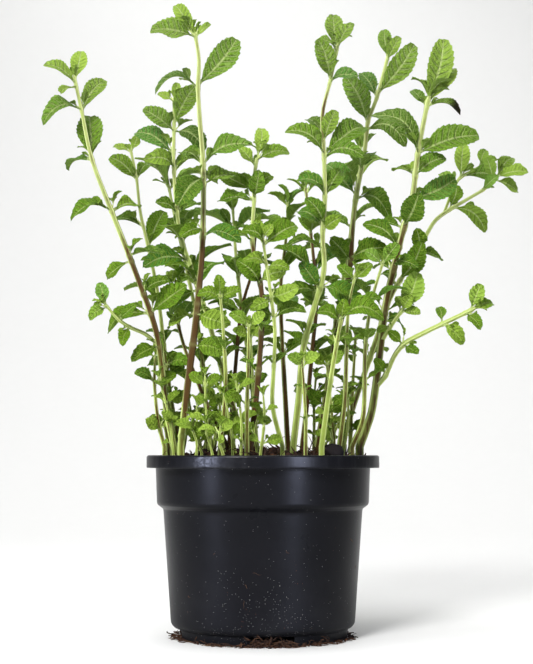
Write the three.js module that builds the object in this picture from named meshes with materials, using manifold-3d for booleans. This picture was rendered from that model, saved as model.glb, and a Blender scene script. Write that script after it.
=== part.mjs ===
// A pot of mint: a round nursery pot filled with peat, and the leafy stems that grow from it.
// Millimetres, +Z up. The origin is the middle of the pot's foot, on the surface it stands on.
import * as THREE from "three";
import { mergeVertices } from "three/addons/utils/BufferGeometryUtils.js";
import Module from "manifold-3d";

const wasm = await Module();
wasm.setup();

// Pot
const POT_HEIGHT = 100;
const RIM_RADIUS = 65;
const RIM_DEPTH = 7;
const RIM_WALL = 1.3;
const COLLAR_RADIUS = 60;
const STEP_HEIGHT = 73;
const BODY_TOP_RADIUS = 55.5;
const BODY_FOOT_RADIUS = 51.2;
const FOOT_RADIUS = 47.4;
const FOOT_HEIGHT = 5.4;
const FOOT_WALL = 1.6;
const WALL = 1.2;
const FLOOR = 1.3;
const HUB_RADIUS = 21;
const NOTCH_COUNT = 4;
const NOTCH_WIDTH = 24;
const NOTCH_TURN = -84;
const DRAIN_COUNT = 6;
const DRAIN_RADIUS = 4.5;
const DRAIN_CIRCLE = 34;
const DRAIN_TURN = -67;
const POT_SIDES = 36;

// Peat
const GAP = 0.3;
const PEAT_EDGE = 97;
const PEAT_MOUND = 5;
const PEAT_LUMP = 0.8;
const PEAT_SIDES = 18;
const PEAT_RINGS = [1, 0.86, 0.66, 0.44, 0.22, 0];

// Stems
const ROOT_HEIGHT = 91;
const FREE_HEIGHT = 105;
const STEM_STEP = 15;
const BUD_LENGTH = 1.6;

// Leaves
const BLADE_THICKNESS = 0.9;
const BLADE_RATIO = 0.44;
const WIDEST_RATIO = 0.56;
const FULL_GROWN = 1.18;
const STALK_THICKNESS = 1.4;
const STALK_WIDTH = 1.5;
const STALK_LENGTH = 1.6;
const STALK_ROOT = 0.8;
const BLADE_SKEW = 1.1;
const BASE_TAPER = 0.85;
const TIP_ROUNDING = 0.4;
const WIDEST_POINT = 0.6;
const TEETH_BY_LENGTH = [[36, 4], [26, 3], [15, 2], [0, 1]];
const TOOTH_START = 0.8;
const TOOTH_END = 0.1;
const NOTCH_STEP = 0.3;
const NOTCH_DEPTH = 0.84;
const MIDRIB_POINTS = [0.33, 0.68];
const SHORT_MIDRIB_POINTS = [0.45];
const EDGE_ON_WIDTH = 0.55;
const FOLD = 0.22;
const WAVE = 0.07;
const WAVE_TURNS = 9;
const SEED = 20261;

// The pairs that fill a stem: how far they stray, how they rise and how they grow with height
const TURN_STRAY = 14;
const RISE_STRAY = 12;
const FRONT_STRAY = 28;
const SIZE_STRAY = [0.85, 1.12];
const PAIR_WIDTH = 0.75;
const PAIR_FACING = [-0.1, 0.4];
const PAIR_BOW = [0.06, 0.16];
const PAIR_RISE = 30;
const TIP_PAIRS = [{ below: 3, size: 0.7, rise: 42 }, { below: 1, size: 0.5, rise: 62 }];
const TAKEN_SHARE = 0.42;
const LAST_SHARE = 0.4;
const LOW_GROWN = 0.55;
const LOW_HEIGHT = 125;
const GROWN_SPAN = 110;

// Room between the leaves and stems, and the ways a leaf may bend to keep it, as
// [across, depth, rise] added to its heading and then the share of its size
const LEAF_CLEARANCE = 3.3;
const STEM_CLEARANCE = 2.0;
const OWN_LEAF_CLEARANCE = 2.2;
const OWN_STEM_CLEARANCE = 0.8;
const WIDEST_STEM = 2.4;
const LOWEST_LEAF = 105.5;
const SAMPLE_STEP = 2.2;
const BENDS = [
  [0, 0, 0, 1],
  [0, -0.25, 0, 1], [0, 0.25, 0, 1], [0, -0.5, 0, 1], [0, 0.5, 0, 1],
  [0, 0, 0.25, 1], [0, 0, -0.25, 1], [0.2, 0, 0.1, 1], [-0.2, 0, 0.1, 1],
  [0, -0.4, 0.3, 0.9], [0, 0.4, 0.3, 0.9], [0, -0.8, 0, 0.9], [0, 0.8, 0, 0.9],
  [0.4, 0, 0, 0.85], [-0.4, 0, 0, 0.85], [0, 0, 0.6, 0.85], [0, 0, -0.5, 0.85],
  [0, 0, 0, 0.75], [0, -0.4, 0, 0.75], [0, 0.4, 0, 0.75], [0.3, 0.3, 0.3, 0.7],
  [-0.3, -0.3, 0.3, 0.7], [0, 0, 0, 0.6], [0.5, -0.5, 0, 0.6], [-0.5, 0.5, 0, 0.6],
];

// The height above which a listed stem's other pairs grow to its front and back
const MIXED_HEIGHT = 200;
const ROUTE_STEPS = 10;
const BRANCH_SHARE = 0.9;
const BRANCH_TAPER = 0.8;
const BRANCH_RINGS = 5;

// The eye that the stems' routes are read from, in front of the pot and looking up a little
const EYE_DISTANCE = 815;
const EYE_ACROSS = 2;
const EYE_HEIGHT = 101.5;
const EYE_TILT = THREE.MathUtils.degToRad(4.75);
const SIGHT_HEIGHT = EYE_HEIGHT + EYE_DISTANCE * Math.tan(EYE_TILT);

// Each stem's route is a list of [across, height, depth], where across and height are as they show
// from the front at the pot's axis, and depth is the distance behind that plane.
// Each leaf is [height on the stem, across, rise, depth, width, facing, bow] of its tip from its root,
// where the width is as seen, facing 1 turns the upper side to the front, 0 turns it up, and bow
// lifts the middle.
// fill is [first height, spacing, leaf length, turn in degrees] of the pairs between those.
const STEMS = [
  {
    name: "stem_far_left",
    foot: 2.0,
    tip: 1.0,
    route: [[-50, 105, -8], [-54, 125, -10], [-57, 150, -12], [-61, 173, -16], [-74, 209, -24],
      [-85, 237, -31], [-96, 266, -37], [-102, 294, -40], [-106, 312, -40]],
    leaves: [
      [311, 3, 18, 3, 8, 0.7, 0],
      [309, -17, 12, -3, 8, 0.5, 2],
      [307, -9, -3, -10, 6, 0.3, 1],
      [294, 13, 18, 5, 9, 0.8, 1],
      [293, -22, -6, -8, 10, 0.5, 6],
      [267, -2, 27, 8, 14.5, 1, 1],
      [265, -14, -3, 10, 8, 0.4, 2],
      [237, -23, -5, -6, 10, 0.4, 7],
      [236, 16, 4, 12, 8, 0.5, 2],
      [212, 19, 1, -12, 10, 0.2, 2],
      [209, -14, -9, 6, 8, 0.6, 2],
      [190, 12, 9, -9, 8, 0.6, 2],
      [180, 20, 16, -8, 11, 0.7, 3],
      [179, -26, -8, -8, 10, 0.5, 5],
      [161, -15, -6, -9, 8, 0.6, 2],
    ],
    branches: [
      { route: [[-59, 162, -14], [-66, 168, -18], [-75, 172, -25], [-82, 177, -31], [-88, 184, -35]],
        leaves: [
          [184, -4, 13, -3, 7.5, 0.9, 1],
          [183, -10, -6, -6, 7, 0.7, 1],
          [172, -4, -9, -8, 6, 0.8, 1],
          [176, 9, 9, -6, 6, 0.7, 1],
        ] },
    ],
    fill: [144, 50, 15, 20],
  },
  {
    name: "stem_left_slim",
    foot: 1.3,
    tip: 0.9,
    route: [[-47, 105, 16], [-52, 134, 18], [-56, 165, 20], [-59.5, 193, 23], [-65, 219, 27],
      [-69, 237, 30], [-71, 255, 33], [-74, 270, 35]],
    leaves: [
      [270, -10, 4, 3, 5, 0.5, 1],
      [270, 3, 10, -2, 5, 0.7, 0],
      [255, -14, 12, 4, 9, 0.7, 1],
      [255, 7, 10, 6, 6, 0.7, 1],
      [228, -17, 5, 8, 9, 0.4, 2],
      [217, 9, 21, 8, 11, 0.9, 1],
    ],
    fill: [162, 24, 20, 60],
  },
  {
    name: "stem_left_mid",
    foot: 1.7,
    tip: 1.0,
    route: [[-9, 105, 8], [-18, 131, 12], [-26, 159, 15], [-32.5, 182, 16], [-41, 207, 16],
      [-47, 227, 16], [-50, 259, 17], [-50, 284, 19], [-50, 300, 20]],
    leaves: [
      [299, -9, 5, -3, 5, 0.6, 1],
      [299, 2, 11, 3, 5, 0.8, 0],
      [286, 12, 22, -4, 12.5, 1, 1],
      [282, -17, 13, -8, 10, 0.7, 2],
      [281, 17, -10, -10, 10, 0.5, 4],
      [270, -22, 13, 8, 10, 0.8, 2],
      [261, -16, 5, -10, 9.5, 0.8, 5],
      [260, 13, 9, 10, 8, 0.2, 2],
      [236, -12, 6, -10, 9, 0.6, 2],
      [235, 12, 5, 14, 9, 0.4, 2],
      [209, -25, -1, -10, 13.5, 0.6, 4],
      [206, -7, -10, 6, 8, 0.6, 2],
    ],
    fill: [150, 23, 21, 40],
  },
  {
    name: "stem_left_tall",
    foot: 2.1,
    tip: 1.1,
    route: [[-46, 105, -19], [-43, 134, -20], [-39, 165, -20], [-36, 193, -20], [-34, 219, -21],
      [-33.5, 260, -23], [-35.5, 288, -25], [-36.5, 306, -26], [-36, 322, -27], [-38, 336, -27]],
    leaves: [
      [335, -25, 6, -4, 11.5, 0.7, 3],
      [335, -12, 21, 4, 8, 0.9, 1],
      [334, 8, 8, -5, 5, 0.6, 1],
      [308, 22, 28, 5, 14.6, 1, 1],
      [306, -24, 0, -6, 12, 0.3, 7],
      [263, -13, 9, 8, 8, 0.5, 1],
      [262, 28, 11, -6, 12, 0.5, 5],
      [256, -14, -15, -15, 13.5, 0.9, 3],
      [254, 20, 5, 12, 10, 0.5, 2],
      [225, -12, -2, -12, 9, 0.6, 2],
      [223, 21, -1, -9, 12, 0.5, 5],
      [194, -22, -11, -10, 12, 0.6, 3],
      [180, -20, -7, 6, 10, 0.6, 3],
      [186, 22, 5, -2, 9, 0.5, 3],
      [178, 17, -5, -10, 11.5, 0.9, 2],
      [163, 17, -4, -8, 12.5, 0.95, 1],
      [112, 13, 6, -9, 9, 0.85, 1],
    ],
    fill: [144, 52, 17, 75],
  },
  {
    name: "stem_centre",
    foot: 1.8,
    tip: 1.0,
    route: [[-7, 105, -24], [-4, 131, -22], [-1.5, 160, -19], [-0.5, 187, -16], [-3, 204, -14],
      [-6, 220, -12], [-5, 243, -9], [-5, 256, -7], [-3, 268, -5]],
    leaves: [
      [268, 2, 17, 2, 8, 0.9, 1],
      [266, 17, 7, -3, 8.5, 0.6, 2],
      [262, -9, 12, -3, 6, 0.6, 1],
      [248, -20, 12, 4, 9, 0.7, 3],
      [247, 10, 10, 8, 7, 0.7, 1],
      [245, 2, 14, -12, 10, 0.8, 1],
      [243, -19, 0, -6, 7, 0.5, 2],
      [222, 24, 2, -6, 12, 0.5, 6],
      [221, -9, 5, -9, 7, 0.5, 1],
      [198, 13, 6, -8, 10, 0.9, 2],
      [196, -12, 13, -10, 12, 0.9, 3],
    ],
    fill: [146, 24, 18, 10],
  },
  {
    name: "stem_centre_slim",
    foot: 1.3,
    tip: 0.8,
    route: [[11, 105, -38], [5.5, 127, -40], [6, 148, -42], [6.7, 170, -44], [4, 193, -46],
      [1, 214, -48], [0, 222, -49]],
    leaves: [
      [222, -5, 10, -2, 6, 0.8, 1],
      [222, 6, 8, -4, 6, 0.8, 1],
      [218, 18, 13, -4, 13, 0.8, 3],
      [218, -14, 9, -3, 9, 0.6, 3],
      [206, -12, 4, -6, 8, 0.6, 2],
      [205, 11, 2, -8, 8, 0.6, 2],
      [188, 14, 6, -8, 11, 0.95, 1],
      [187, -11, -3, -7, 8, 0.7, 2],
      [177, 17, 6, -4, 9, 0.5, 2],
      [176, -10, 6, -6, 8, 0.6, 2],
    ],
    fill: [150, 19, 13, 50],
  },
  {
    name: "stem_right_mid",
    foot: 1.9,
    tip: 1.0,
    route: [[17, 105, -22], [20, 131, -22], [22.5, 159, -23], [28.5, 182, -25], [33, 197, -26],
      [34.5, 208, -27], [33.5, 223, -28], [34.8, 243, -30], [34.3, 269, -32], [33.4, 291, -33],
      [38, 311, -34], [42, 330, -34]],
    leaves: [
      [329, -2, 21, 3, 8, 0.5, 0],
      [329, 9, 15, -4, 6, 0.6, 1],
      [326, -12, 6, -5, 7, 0.5, 4],
      [311, -8, 23, -3, 10.5, 0.9, 1],
      [310, 16, 4, -6, 10, 0.6, 4],
      [281, -8, 10, 8, 7, 0.5, 1],
      [277, 7, 18, -4, 8.5, 0.9, 1],
      [270, 25, 21, 4, 12, 0.7, 5],
      [269, -21, 14, -4, 12, 0.5, 5],
      [267, 21, 4, -12, 9, 0.6, 4],
      [246, -15, 10, -6, 10, 0.5, 4],
      [245, 9, 16, 6, 9, 0.8, 1],
      [230, -8, 14, -8, 8, 0.7, 2],
      [228, -14, 10, 6, 8.5, 0.6, 2],
      [227, 9, 7, -10, 8, 0.9, 1],
      [215, -20, 6, -8, 8, 0.3, 3],
      [194, 22, -8, -8, 14, 0.7, 6],
      [193, -9, 15, -8, 9, 0.7, 1],
      [191, -17, -1, -8, 9, 0.5, 2],
    ],
    fill: [165, 25, 18, 30],
  },
  {
    name: "stem_right_brown",
    foot: 1.4,
    tip: 0.9,
    route: [[22, 105, 6], [25, 131, 6], [28, 162, 7], [30, 184, 8], [29, 205, 9], [26, 232, 10],
      [24, 250, 11]],
    leaves: [],
    fill: [156, 23, 23, 0],
  },
  {
    name: "stem_right_thick",
    foot: 2.2,
    tip: 1.1,
    route: [[31, 105, 2], [37, 140, 3], [41, 165, 4], [46, 186, 6], [49, 209, 8], [50, 224, 9],
      [52, 243, 11], [57, 270, 13], [59, 287, 14], [64, 301, 15], [70, 323, 16]],
    leaves: [
      [322, -2, 17, 3, 8, 0.9, 0],
      [321, 7, 15, -3, 6, 0.7, 1],
      [303, 20, 27, 4, 13.5, 1, 1],
      [301, -9, 14, 5, 8, 0.6, 1],
      [287, -12, 26, -6, 13.5, 1, 1],
      [283, 22, -6, -10, 12.5, 0.6, 7],
      [281, -12, 4, 13, 9, 0.3, 2],
      [245, -16, 21, 5, 11, 0.7, 2],
      [244, 20, -8, -8, 12, 0.6, 9],
      [211, 20, 6, -12, 12.5, 0.8, 3],
      [209, -11, 13, -9, 12, 0.95, 2],
      [125, -9, 10, -8, 7, 0.8, 1],
      [124, 13, 8, -6, 8, 0.8, 1],
    ],
    fill: [160, 25, 21, 80],
  },
  {
    name: "stem_right_arched",
    foot: 1.6,
    tip: 1.1,
    route: [[33, 105, -36], [38, 142, -40], [42, 166, -44], [44, 177, -46]],
    leaves: [
      [176, 24, 2, -4, 12, 0.6, 8],
      [175, -13, 6, -6, 9, 0.6, 2],
      [176, 2, 12, -3, 7, 0.8, 1],
    ],
    fill: [142, 20, 14, 45],
  },
  {
    name: "stem_right_tall",
    foot: 2.4,
    tip: 1.4,
    route: [[54.3, 105, 2], [58.1, 115, 1], [61.6, 127, 0], [65.3, 154, -2], [68.6, 182, -4],
      [72.5, 201, -9], [79, 227, -15], [84, 245, -20], [87, 269, -26], [90.5, 288, -30], [93, 300, -32]],
    leaves: [
      [299, 9, 36, 3, 13.5, 0.95, 1],
      [298, 15, 22, 10, 9, 0.7, 2],
      [296, 19, -2, -6, 7, 0.4, 4],
      [296, -8, 10, 6, 6, 0.5, 1],
      [269, 34, 12, -5, 14, 0.7, 5],
      [268, -23, 25, -4, 11, 0.5, 8],
      [258, 16, 11, -8, 10.5, 0.7, 2],
      [257, -12, 4, 12, 9, 0.4, 2],
      [243, 25, 13, 4, 12.5, 0.9, 2],
      [230, 8, 18, -18, 16, 0.9, 2],
      [228, -16, 4, 12, 10, 0.4, 2],
      [218, -19, 14, -5, 8.5, 0.7, 3],
      [205, 12, 2, -14, 10, 0.6, 3],
      [203, -12, 4, 10, 9, 0.5, 2],
    ],
    branches: [
      { route: [[64, 139, -1], [69, 145, -5], [74, 156, -11], [80, 163, -16], [91, 169, -24],
        [103.5, 175, -31], [118, 182, -38]],
        leaves: [
          [181, 6, 15, -3, 8, 0.9, 1],
          [181, 13, 6, 4, 7.5, 0.6, 1],
          [180, 9, -7, -8, 6, 0.6, 1],
          [174, -2, 10, 3, 6, 0.8, 1],
          [174, 12, -10, -5, 8, 0.7, 2],
          [162, -7, 8, -4, 6, 0.7, 1],
          [162, 9, -4, -7, 6, 0.7, 1],
          [145, -6, 9, -6, 6, 0.8, 1],
        ] },
      { route: [[66, 163, -2], [72, 173, -8], [78, 181, -12]],
        leaves: [
          [182, 9, 22, -4, 12, 0.9, 1],
          [181, 7, 10, -3, 7, 0.8, 1],
          [180, 11, 0, -5, 7, 0.6, 1],
          [180, -1, 10, -6, 7, 0.8, 1],
          [172, -7, -2, -5, 6, 0.6, 1],
        ] },
    ],
    fill: [179, 27, 18, 0],
  },
  {
    name: "stem_far_right",
    foot: 1.7,
    tip: 1.0,
    route: [[44, 105, 26], [52, 131, 26], [62, 160, 26], [71, 187, 26], [77, 198, 26], [84, 209, 27],
      [92, 224, 29], [97, 232, 30], [105, 238, 31], [116, 244.5, 31], [125, 250, 30], [131, 256, 29]],
    leaves: [
      [256, 18, 4, -4, 8, 0.6, 2],
      [256, 11, 14, 3, 8, 0.8, 1],
      [254, -3, 13, -5, 7, 0.8, 1],
      [255, 14, -6, 5, 8, 0.6, 1],
      [249, 8, 9, -8, 7, 0.7, 1],
      [238, 3, 13, 6, 8, 0.8, 1],
      [239, 18, -14, -6, 9, 0.6, 5],
      [215, -1, 12, -12, 11, 0.9, 1],
      [213, 14, -4, 8, 9, 0.5, 2],
      [198, 12, 21, -10, 12.5, 1, 2],
      [195, -8, 8, 10, 8, 0.5, 1],
      [176, 13, -1, 6, 9, 0.5, 2],
      [175, -10, 2, 10, 9, 0.4, 2],
    ],
    branches: [
      { route: [[102, 236.5, 31], [106, 247, 36], [110, 255, 41], [116, 259, 44], [124, 263, 46]],
        leaves: [
          [256, 2, 20, -4, 9, 0.9, 1],
          [257, 19, -2, 5, 9, 0.6, 2],
          [262, 10, 5, -3, 6, 0.6, 1],
          [262, 4, 10, 3, 6, 0.8, 1],
          [252, -9, 6, 6, 7, 0.5, 1],
        ] },
    ],
    fill: [155, 30, 18, 60],
  },
  {
    name: "stem_low_left",
    foot: 1.3,
    tip: 0.8,
    route: [[-55.3, 105, -1], [-57.6, 113, 0], [-59.6, 124, 0], [-61, 141, -1], [-60.5, 156, -2]],
    leaves: [
      [155, 3, 11, -3, 6, 0.8, 1],
      [154, -9, 7, -3, 7, 0.7, 1],
      [141, -11, 6, -2, 7, 0.7, 2],
      [140, 9, 5, -9, 7, 0.7, 2],
      [115, 10, 6, -8, 8, 0.8, 1],
      [114, -8, 6, -8, 7, 0.8, 1],
    ],
    fill: [127, 40, 10, 70],
  },
  {
    name: "stem_left_leaning",
    foot: 1.5,
    tip: 0.8,
    route: [[-20, 105, -4], [-28, 120, -4], [-37, 142, -2], [-44, 160, 0], [-49, 180, 2],
      [-51, 196, 2]],
    leaves: [],
    fill: [152, 20, 20, 15],
  },
  {
    name: "stem_front_left",
    foot: 1.4,
    tip: 0.8,
    route: [[-24, 105, -34], [-21, 137, -39], [-22, 165, -44], [-24, 190, -48]],
    leaves: [
      [188, -12, 4, -6, 9, 0.6, 2],
      [188, 11, 6, -4, 9, 0.6, 2],
      [189, -1, 11, -4, 6, 0.9, 1],
    ],
    fill: [134, 24, 16, 20],
  },
  {
    name: "stem_reddish",
    foot: 1.3,
    tip: 0.8,
    route: [[-19, 105, 24], [-17, 131, 26], [-13, 176, 28], [-10, 190, 29], [-6, 204, 30],
      [-4, 226, 32]],
    leaves: [],
    fill: [158, 22, 22, 65],
  },
  {
    name: "stem_front",
    foot: 1.4,
    tip: 0.8,
    route: [[-9, 105, -48], [-9, 125, -53], [-8.4, 150, -60], [-8, 172, -66]],
    leaves: [
      [171, -10, 8, -4, 8, 0.7, 1],
      [171, 9, 8, -5, 8, 0.7, 1],
    ],
    fill: [128, 23, 13, 5],
  },
  {
    name: "stem_back_mid",
    foot: 1.6,
    tip: 0.9,
    route: [[14, 105, 30], [12, 142, 34], [10.7, 165, 38], [10, 195, 43], [13, 222, 48],
      [14, 242, 52]],
    leaves: [],
    fill: [156, 23, 23, 35],
  },
  {
    name: "stem_front_right",
    foot: 1.1,
    tip: 0.7,
    route: [[24, 105, -46], [24, 120, -50], [23, 138, -56], [22, 152, -61]],
    leaves: [
      [149, 9, 8, -3, 7, 0.7, 1],
      [149, -8, 7, -5, 7, 0.7, 1],
    ],
    fill: [120, 16, 11, 60],
  },
  {
    name: "stem_right_short",
    foot: 1.5,
    tip: 0.8,
    route: [[43, 105, -22], [46, 131, -27], [47, 159, -32], [48, 182, -37], [52, 202, -42]],
    leaves: [
      [199, 9, 10, -4, 8, 0.7, 1],
      [199, -8, 9, -5, 8, 0.7, 1],
    ],
    fill: [138, 22, 17, 25],
  },
  {
    name: "stem_right_low",
    foot: 1.2,
    tip: 0.8,
    route: [[49, 105, 14], [50, 131, 14], [51, 148, 14], [52, 166, 14]],
    leaves: [
      [165, 9, 6, -5, 7, 0.7, 1],
      [165, -8, 7, 4, 7, 0.7, 1],
      [114, -7, 4, -6, 6, 0.8, 1],
      [113, 8, 6, -5, 6, 0.8, 1],
    ],
    fill: [134, 21, 15, 0],
  },
  {
    name: "stem_right_slim",
    foot: 1.5,
    tip: 0.9,
    route: [[50, 105, -12], [55.5, 118, -15], [57, 131, -18], [57.5, 160, -20], [61, 186, -22],
      [67, 207, -24]],
    leaves: [
      [206, 9, 12, -4, 8, 0.8, 1],
      [206, -9, 8, -5, 8, 0.7, 1],
    ],
    fill: [140, 23, 18, 40],
  },
  {
    name: "stem_back_left",
    foot: 1.6,
    tip: 0.9,
    route: [[-31, 105, 38], [-33, 140, 43], [-37, 175, 49], [-43, 205, 55], [-50, 236, 61],
      [-55, 262, 66]],
    leaves: [],
    fill: [150, 25, 24, 20],
  },
  {
    name: "stem_back",
    foot: 1.7,
    tip: 0.9,
    route: [[-4, 105, 46], [-6, 140, 55], [-11, 175, 64], [-15, 210, 72], [-17, 240, 78]],
    leaves: [],
    fill: [150, 25, 24, 70],
  },
  {
    name: "stem_back_right",
    foot: 1.7,
    tip: 0.9,
    route: [[31, 105, 38], [36, 140, 45], [41, 175, 52], [47, 210, 59], [52, 245, 66],
      [55, 274, 71]],
    leaves: [],
    fill: [150, 26, 25, 45],
  },
  {
    name: "stem_left_inner",
    foot: 1.2,
    tip: 0.8,
    route: [[-53, 105, 7], [-55, 120, 6], [-55, 137, 4], [-53, 152, 2]],
    leaves: [
      [151, -15, 3, -5, 9, 0.6, 2],
      [151, 15, -3, -7, 10, 0.6, 2],
      [148, 3, 10, -9, 9, 0.9, 1],
      [143, 8, 8, -9, 8, 0.7, 1],
      [117, 9, 4, -9, 9, 0.9, 1],
      [115, -7, 5, -8, 7, 0.8, 1],
    ],
    fill: [131, 40, 11, 30],
  },
  {
    name: "stem_centre_thin",
    foot: 1.0,
    tip: 0.7,
    route: [[-3, 105, -6], [-5, 125, -4], [-6, 150, -2], [-7, 168, 0]],
    leaves: [
      [167, 13, 5, -6, 7, 0.7, 2],
      [166, -10, 4, -5, 7, 0.7, 1],
      [165, 2, 10, -5, 6, 0.8, 1],
      [140, 8, 5, -5, 6, 0.7, 1],
      [140, -8, 5, 4, 6, 0.7, 1],
    ],
    fill: [125, 60, 10, 0],
  },
  {
    name: "stem_right_thin",
    foot: 1.1,
    tip: 0.7,
    route: [[40, 105, -8], [38.5, 125, -10], [36, 150, -12]],
    leaves: [
      [149, 9, 8, -5, 7, 0.7, 1],
      [149, -9, 6, -5, 7, 0.7, 1],
      [128, 8, 5, -5, 6, 0.7, 1],
    ],
    fill: [120, 60, 10, 0],
  },
];

// A draw that repeats from its seed
class Draw {
  constructor(seed) {
    this.state = seed;
    this.next();
    this.next();
  }

  next() {
    this.state = (this.state * 1664525 + 1013904223) % 4294967296;
    return this.state / 4294967296;
  }

  between(low, high) {
    return low + (high - low) * this.next();
  }
}

// The real place of a point read from the front, with the eye looking up a little
function place([across, height, depth]) {
  const right = (across - EYE_ACROSS) / EYE_DISTANCE;
  const up = (height - SIGHT_HEIGHT) / EYE_DISTANCE;
  const reach = (EYE_DISTANCE + depth) / (Math.cos(EYE_TILT) - up * Math.sin(EYE_TILT));
  return new THREE.Vector3(
    EYE_ACROSS + reach * right,
    depth,
    EYE_HEIGHT + reach * (Math.sin(EYE_TILT) + up * Math.cos(EYE_TILT)),
  );
}

// A point on the smooth curve through a route, at a share of its steps
function routePoint(route, share) {
  const last = route.length - 1;
  const at = share * last;
  const index = Math.min(Math.floor(at), last - 1);
  const t = at - index;
  const point = (i, axis) => {
    if (i < 0) return 2 * route[0][axis] - route[1][axis];
    if (i > last) return 2 * route[last][axis] - route[last - 1][axis];
    return route[i][axis];
  };
  return [0, 1, 2].map((axis) => {
    const a = point(index - 1, axis);
    const b = point(index, axis);
    const c = point(index + 1, axis);
    const d = point(index + 2, axis);
    const slopeB = (c - a) / 2;
    const slopeC = (d - b) / 2;
    return b + slopeB * t + (3 * (c - b) - 2 * slopeB - slopeC) * t * t
      + (2 * (b - c) + slopeB + slopeC) * t * t * t;
  });
}

// The fine points of a route, as seen and in place, each with the stem's half width there
function traceRoute(route, footWidth, tipWidth) {
  const count = (route.length - 1) * ROUTE_STEPS;
  const trace = [];
  for (let i = 0; i <= count; i += 1) {
    const seen = routePoint(route, i / count);
    trace.push({ seen, at: place(seen), width: footWidth + (tipWidth - footWidth) * (i / count) });
  }
  return trace;
}

// The point of a trace at a height
function traceAt(trace, height) {
  let best = trace[0];
  for (const step of trace) {
    if (Math.abs(step.seen[1] - height) < Math.abs(best.seen[1] - height)) best = step;
  }
  return best;
}

// A leaf from its row: where it is rooted, which way it grows and how it is turned
function makeLeaf(step, [, across, rise, depth, width, facing, bow]) {
  const [x, z, y] = step.seen;
  const tip = place([x + across, z + rise, y + depth]);
  const along = tip.sub(step.at);
  const length = along.length();
  const shown = EDGE_ON_WIDTH + (1 - EDGE_ON_WIDTH) * Math.abs(facing);
  const real = Math.min(width / shown, length * WIDEST_RATIO);
  return shapeLeaf(step, along, length, real, facing, bow);
}

function shapeLeaf(step, direction, length, width, facing, bow) {
  const along = direction.clone().normalize();
  const up = new THREE.Vector3(0, -facing, 1 - Math.abs(facing));
  up.addScaledVector(along, -up.dot(along));
  if (up.length() < 0.05) up.set(0, -1, 0.1).addScaledVector(along, along.y - 0.1 * along.z);
  up.normalize();
  return {
    root: step.at,
    along,
    up,
    side: along.clone().cross(up),
    length,
    width,
    facing,
    bow,
    stalk: (step.width + STALK_LENGTH) / length,
    rootDepth: (STALK_ROOT * step.width) / length,
  };
}

// Half the blade's width, as a share of its widest, at a share of the way from stalk to tip
function bladeWidth(share) {
  return Math.sin(Math.PI * share ** BLADE_SKEW) ** (BASE_TAPER - TIP_ROUNDING * share);
}

// A point of the leaf's middle surface: the share along it, and millimetres to the side
function leafPoint(leaf, share, offset) {
  const lift = 4 * leaf.bow * share * (1 - share) + FOLD * Math.abs(offset)
    + WAVE * Math.abs(offset) * Math.sin(WAVE_TURNS * share + leaf.length);
  return leaf.root.clone()
    .addScaledVector(leaf.along, leaf.length * share)
    .addScaledVector(leaf.side, offset)
    .addScaledVector(leaf.up, lift);
}

// Points spread over the blade, which stand for it while it is kept clear of the others
function leafSamples(leaf) {
  const steps = Math.ceil((leaf.length * (1 - leaf.stalk)) / SAMPLE_STEP);
  const samples = [];
  for (let i = 1; i <= steps; i += 1) {
    const share = i / steps;
    const half = (bladeWidth(Math.min(share, 0.97)) * leaf.width) / 2;
    const rows = Math.max(1, Math.ceil(half / SAMPLE_STEP));
    for (let j = -rows; j <= rows; j += 1) {
      const at = leafPoint(leaf, leaf.stalk + (1 - leaf.stalk) * share, (half * j) / rows);
      samples.push({ at, near: share < 0.3 });
    }
  }
  return samples;
}

// Points of space in cells, so that only the near ones are looked at
class Cells {
  constructor(size) {
    this.size = size;
    this.cells = new Map();
  }

  key(x, y, z) {
    return (x + 500) * 1000000 + (y + 500) * 1000 + z + 500;
  }

  add(item) {
    const { x, y, z } = item.at;
    const key = this.key(
      Math.floor(x / this.size),
      Math.floor(y / this.size),
      Math.floor(z / this.size),
    );
    if (!this.cells.has(key)) this.cells.set(key, []);
    this.cells.get(key).push(item);
  }

  someNear(point, test) {
    const cx = Math.floor(point.x / this.size);
    const cy = Math.floor(point.y / this.size);
    const cz = Math.floor(point.z / this.size);
    for (let x = cx - 1; x <= cx + 1; x += 1) {
      for (let y = cy - 1; y <= cy + 1; y += 1) {
        for (let z = cz - 1; z <= cz + 1; z += 1) {
          const items = this.cells.get(this.key(x, y, z));
          if (items && items.some(test)) return true;
        }
      }
    }
    return false;
  }
}

const leafCells = new Cells(LEAF_CLEARANCE);
const stemCells = new Cells(STEM_CLEARANCE + WIDEST_STEM);

function isClear(samples, owner) {
  return !samples.some(({ at, near }) => at.z < LOWEST_LEAF
    || stemCells.someNear(at, (other) => {
      if (other.owner === owner && near) return false;
      const room = other.owner === owner ? OWN_STEM_CLEARANCE : STEM_CLEARANCE;
      return other.at.distanceTo(at) < room + other.width;
    })
    || leafCells.someNear(at, (other) => {
      if (other.owner === owner && (near || other.near)) return false;
      const room = other.owner === owner ? OWN_LEAF_CLEARANCE : LEAF_CLEARANCE;
      return other.at.distanceTo(at) < room;
    }));
}

// Bends a leaf clear of the stems and leaves already there, a little further each time, or drops it
function bendClear(step, leaf, owner) {
  for (const [across, depth, rise, scale] of BENDS) {
    const direction = leaf.along.clone().add(new THREE.Vector3(across, depth, rise));
    const tried = shapeLeaf(
      step, direction, leaf.length * scale, leaf.width * scale, leaf.facing, leaf.bow * scale,
    );
    const samples = leafSamples(tried);
    if (isClear(samples, owner)) {
      samples.forEach(({ at, near }) => leafCells.add({ at, near, owner }));
      return tried;
    }
  }
  return null;
}

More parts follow.
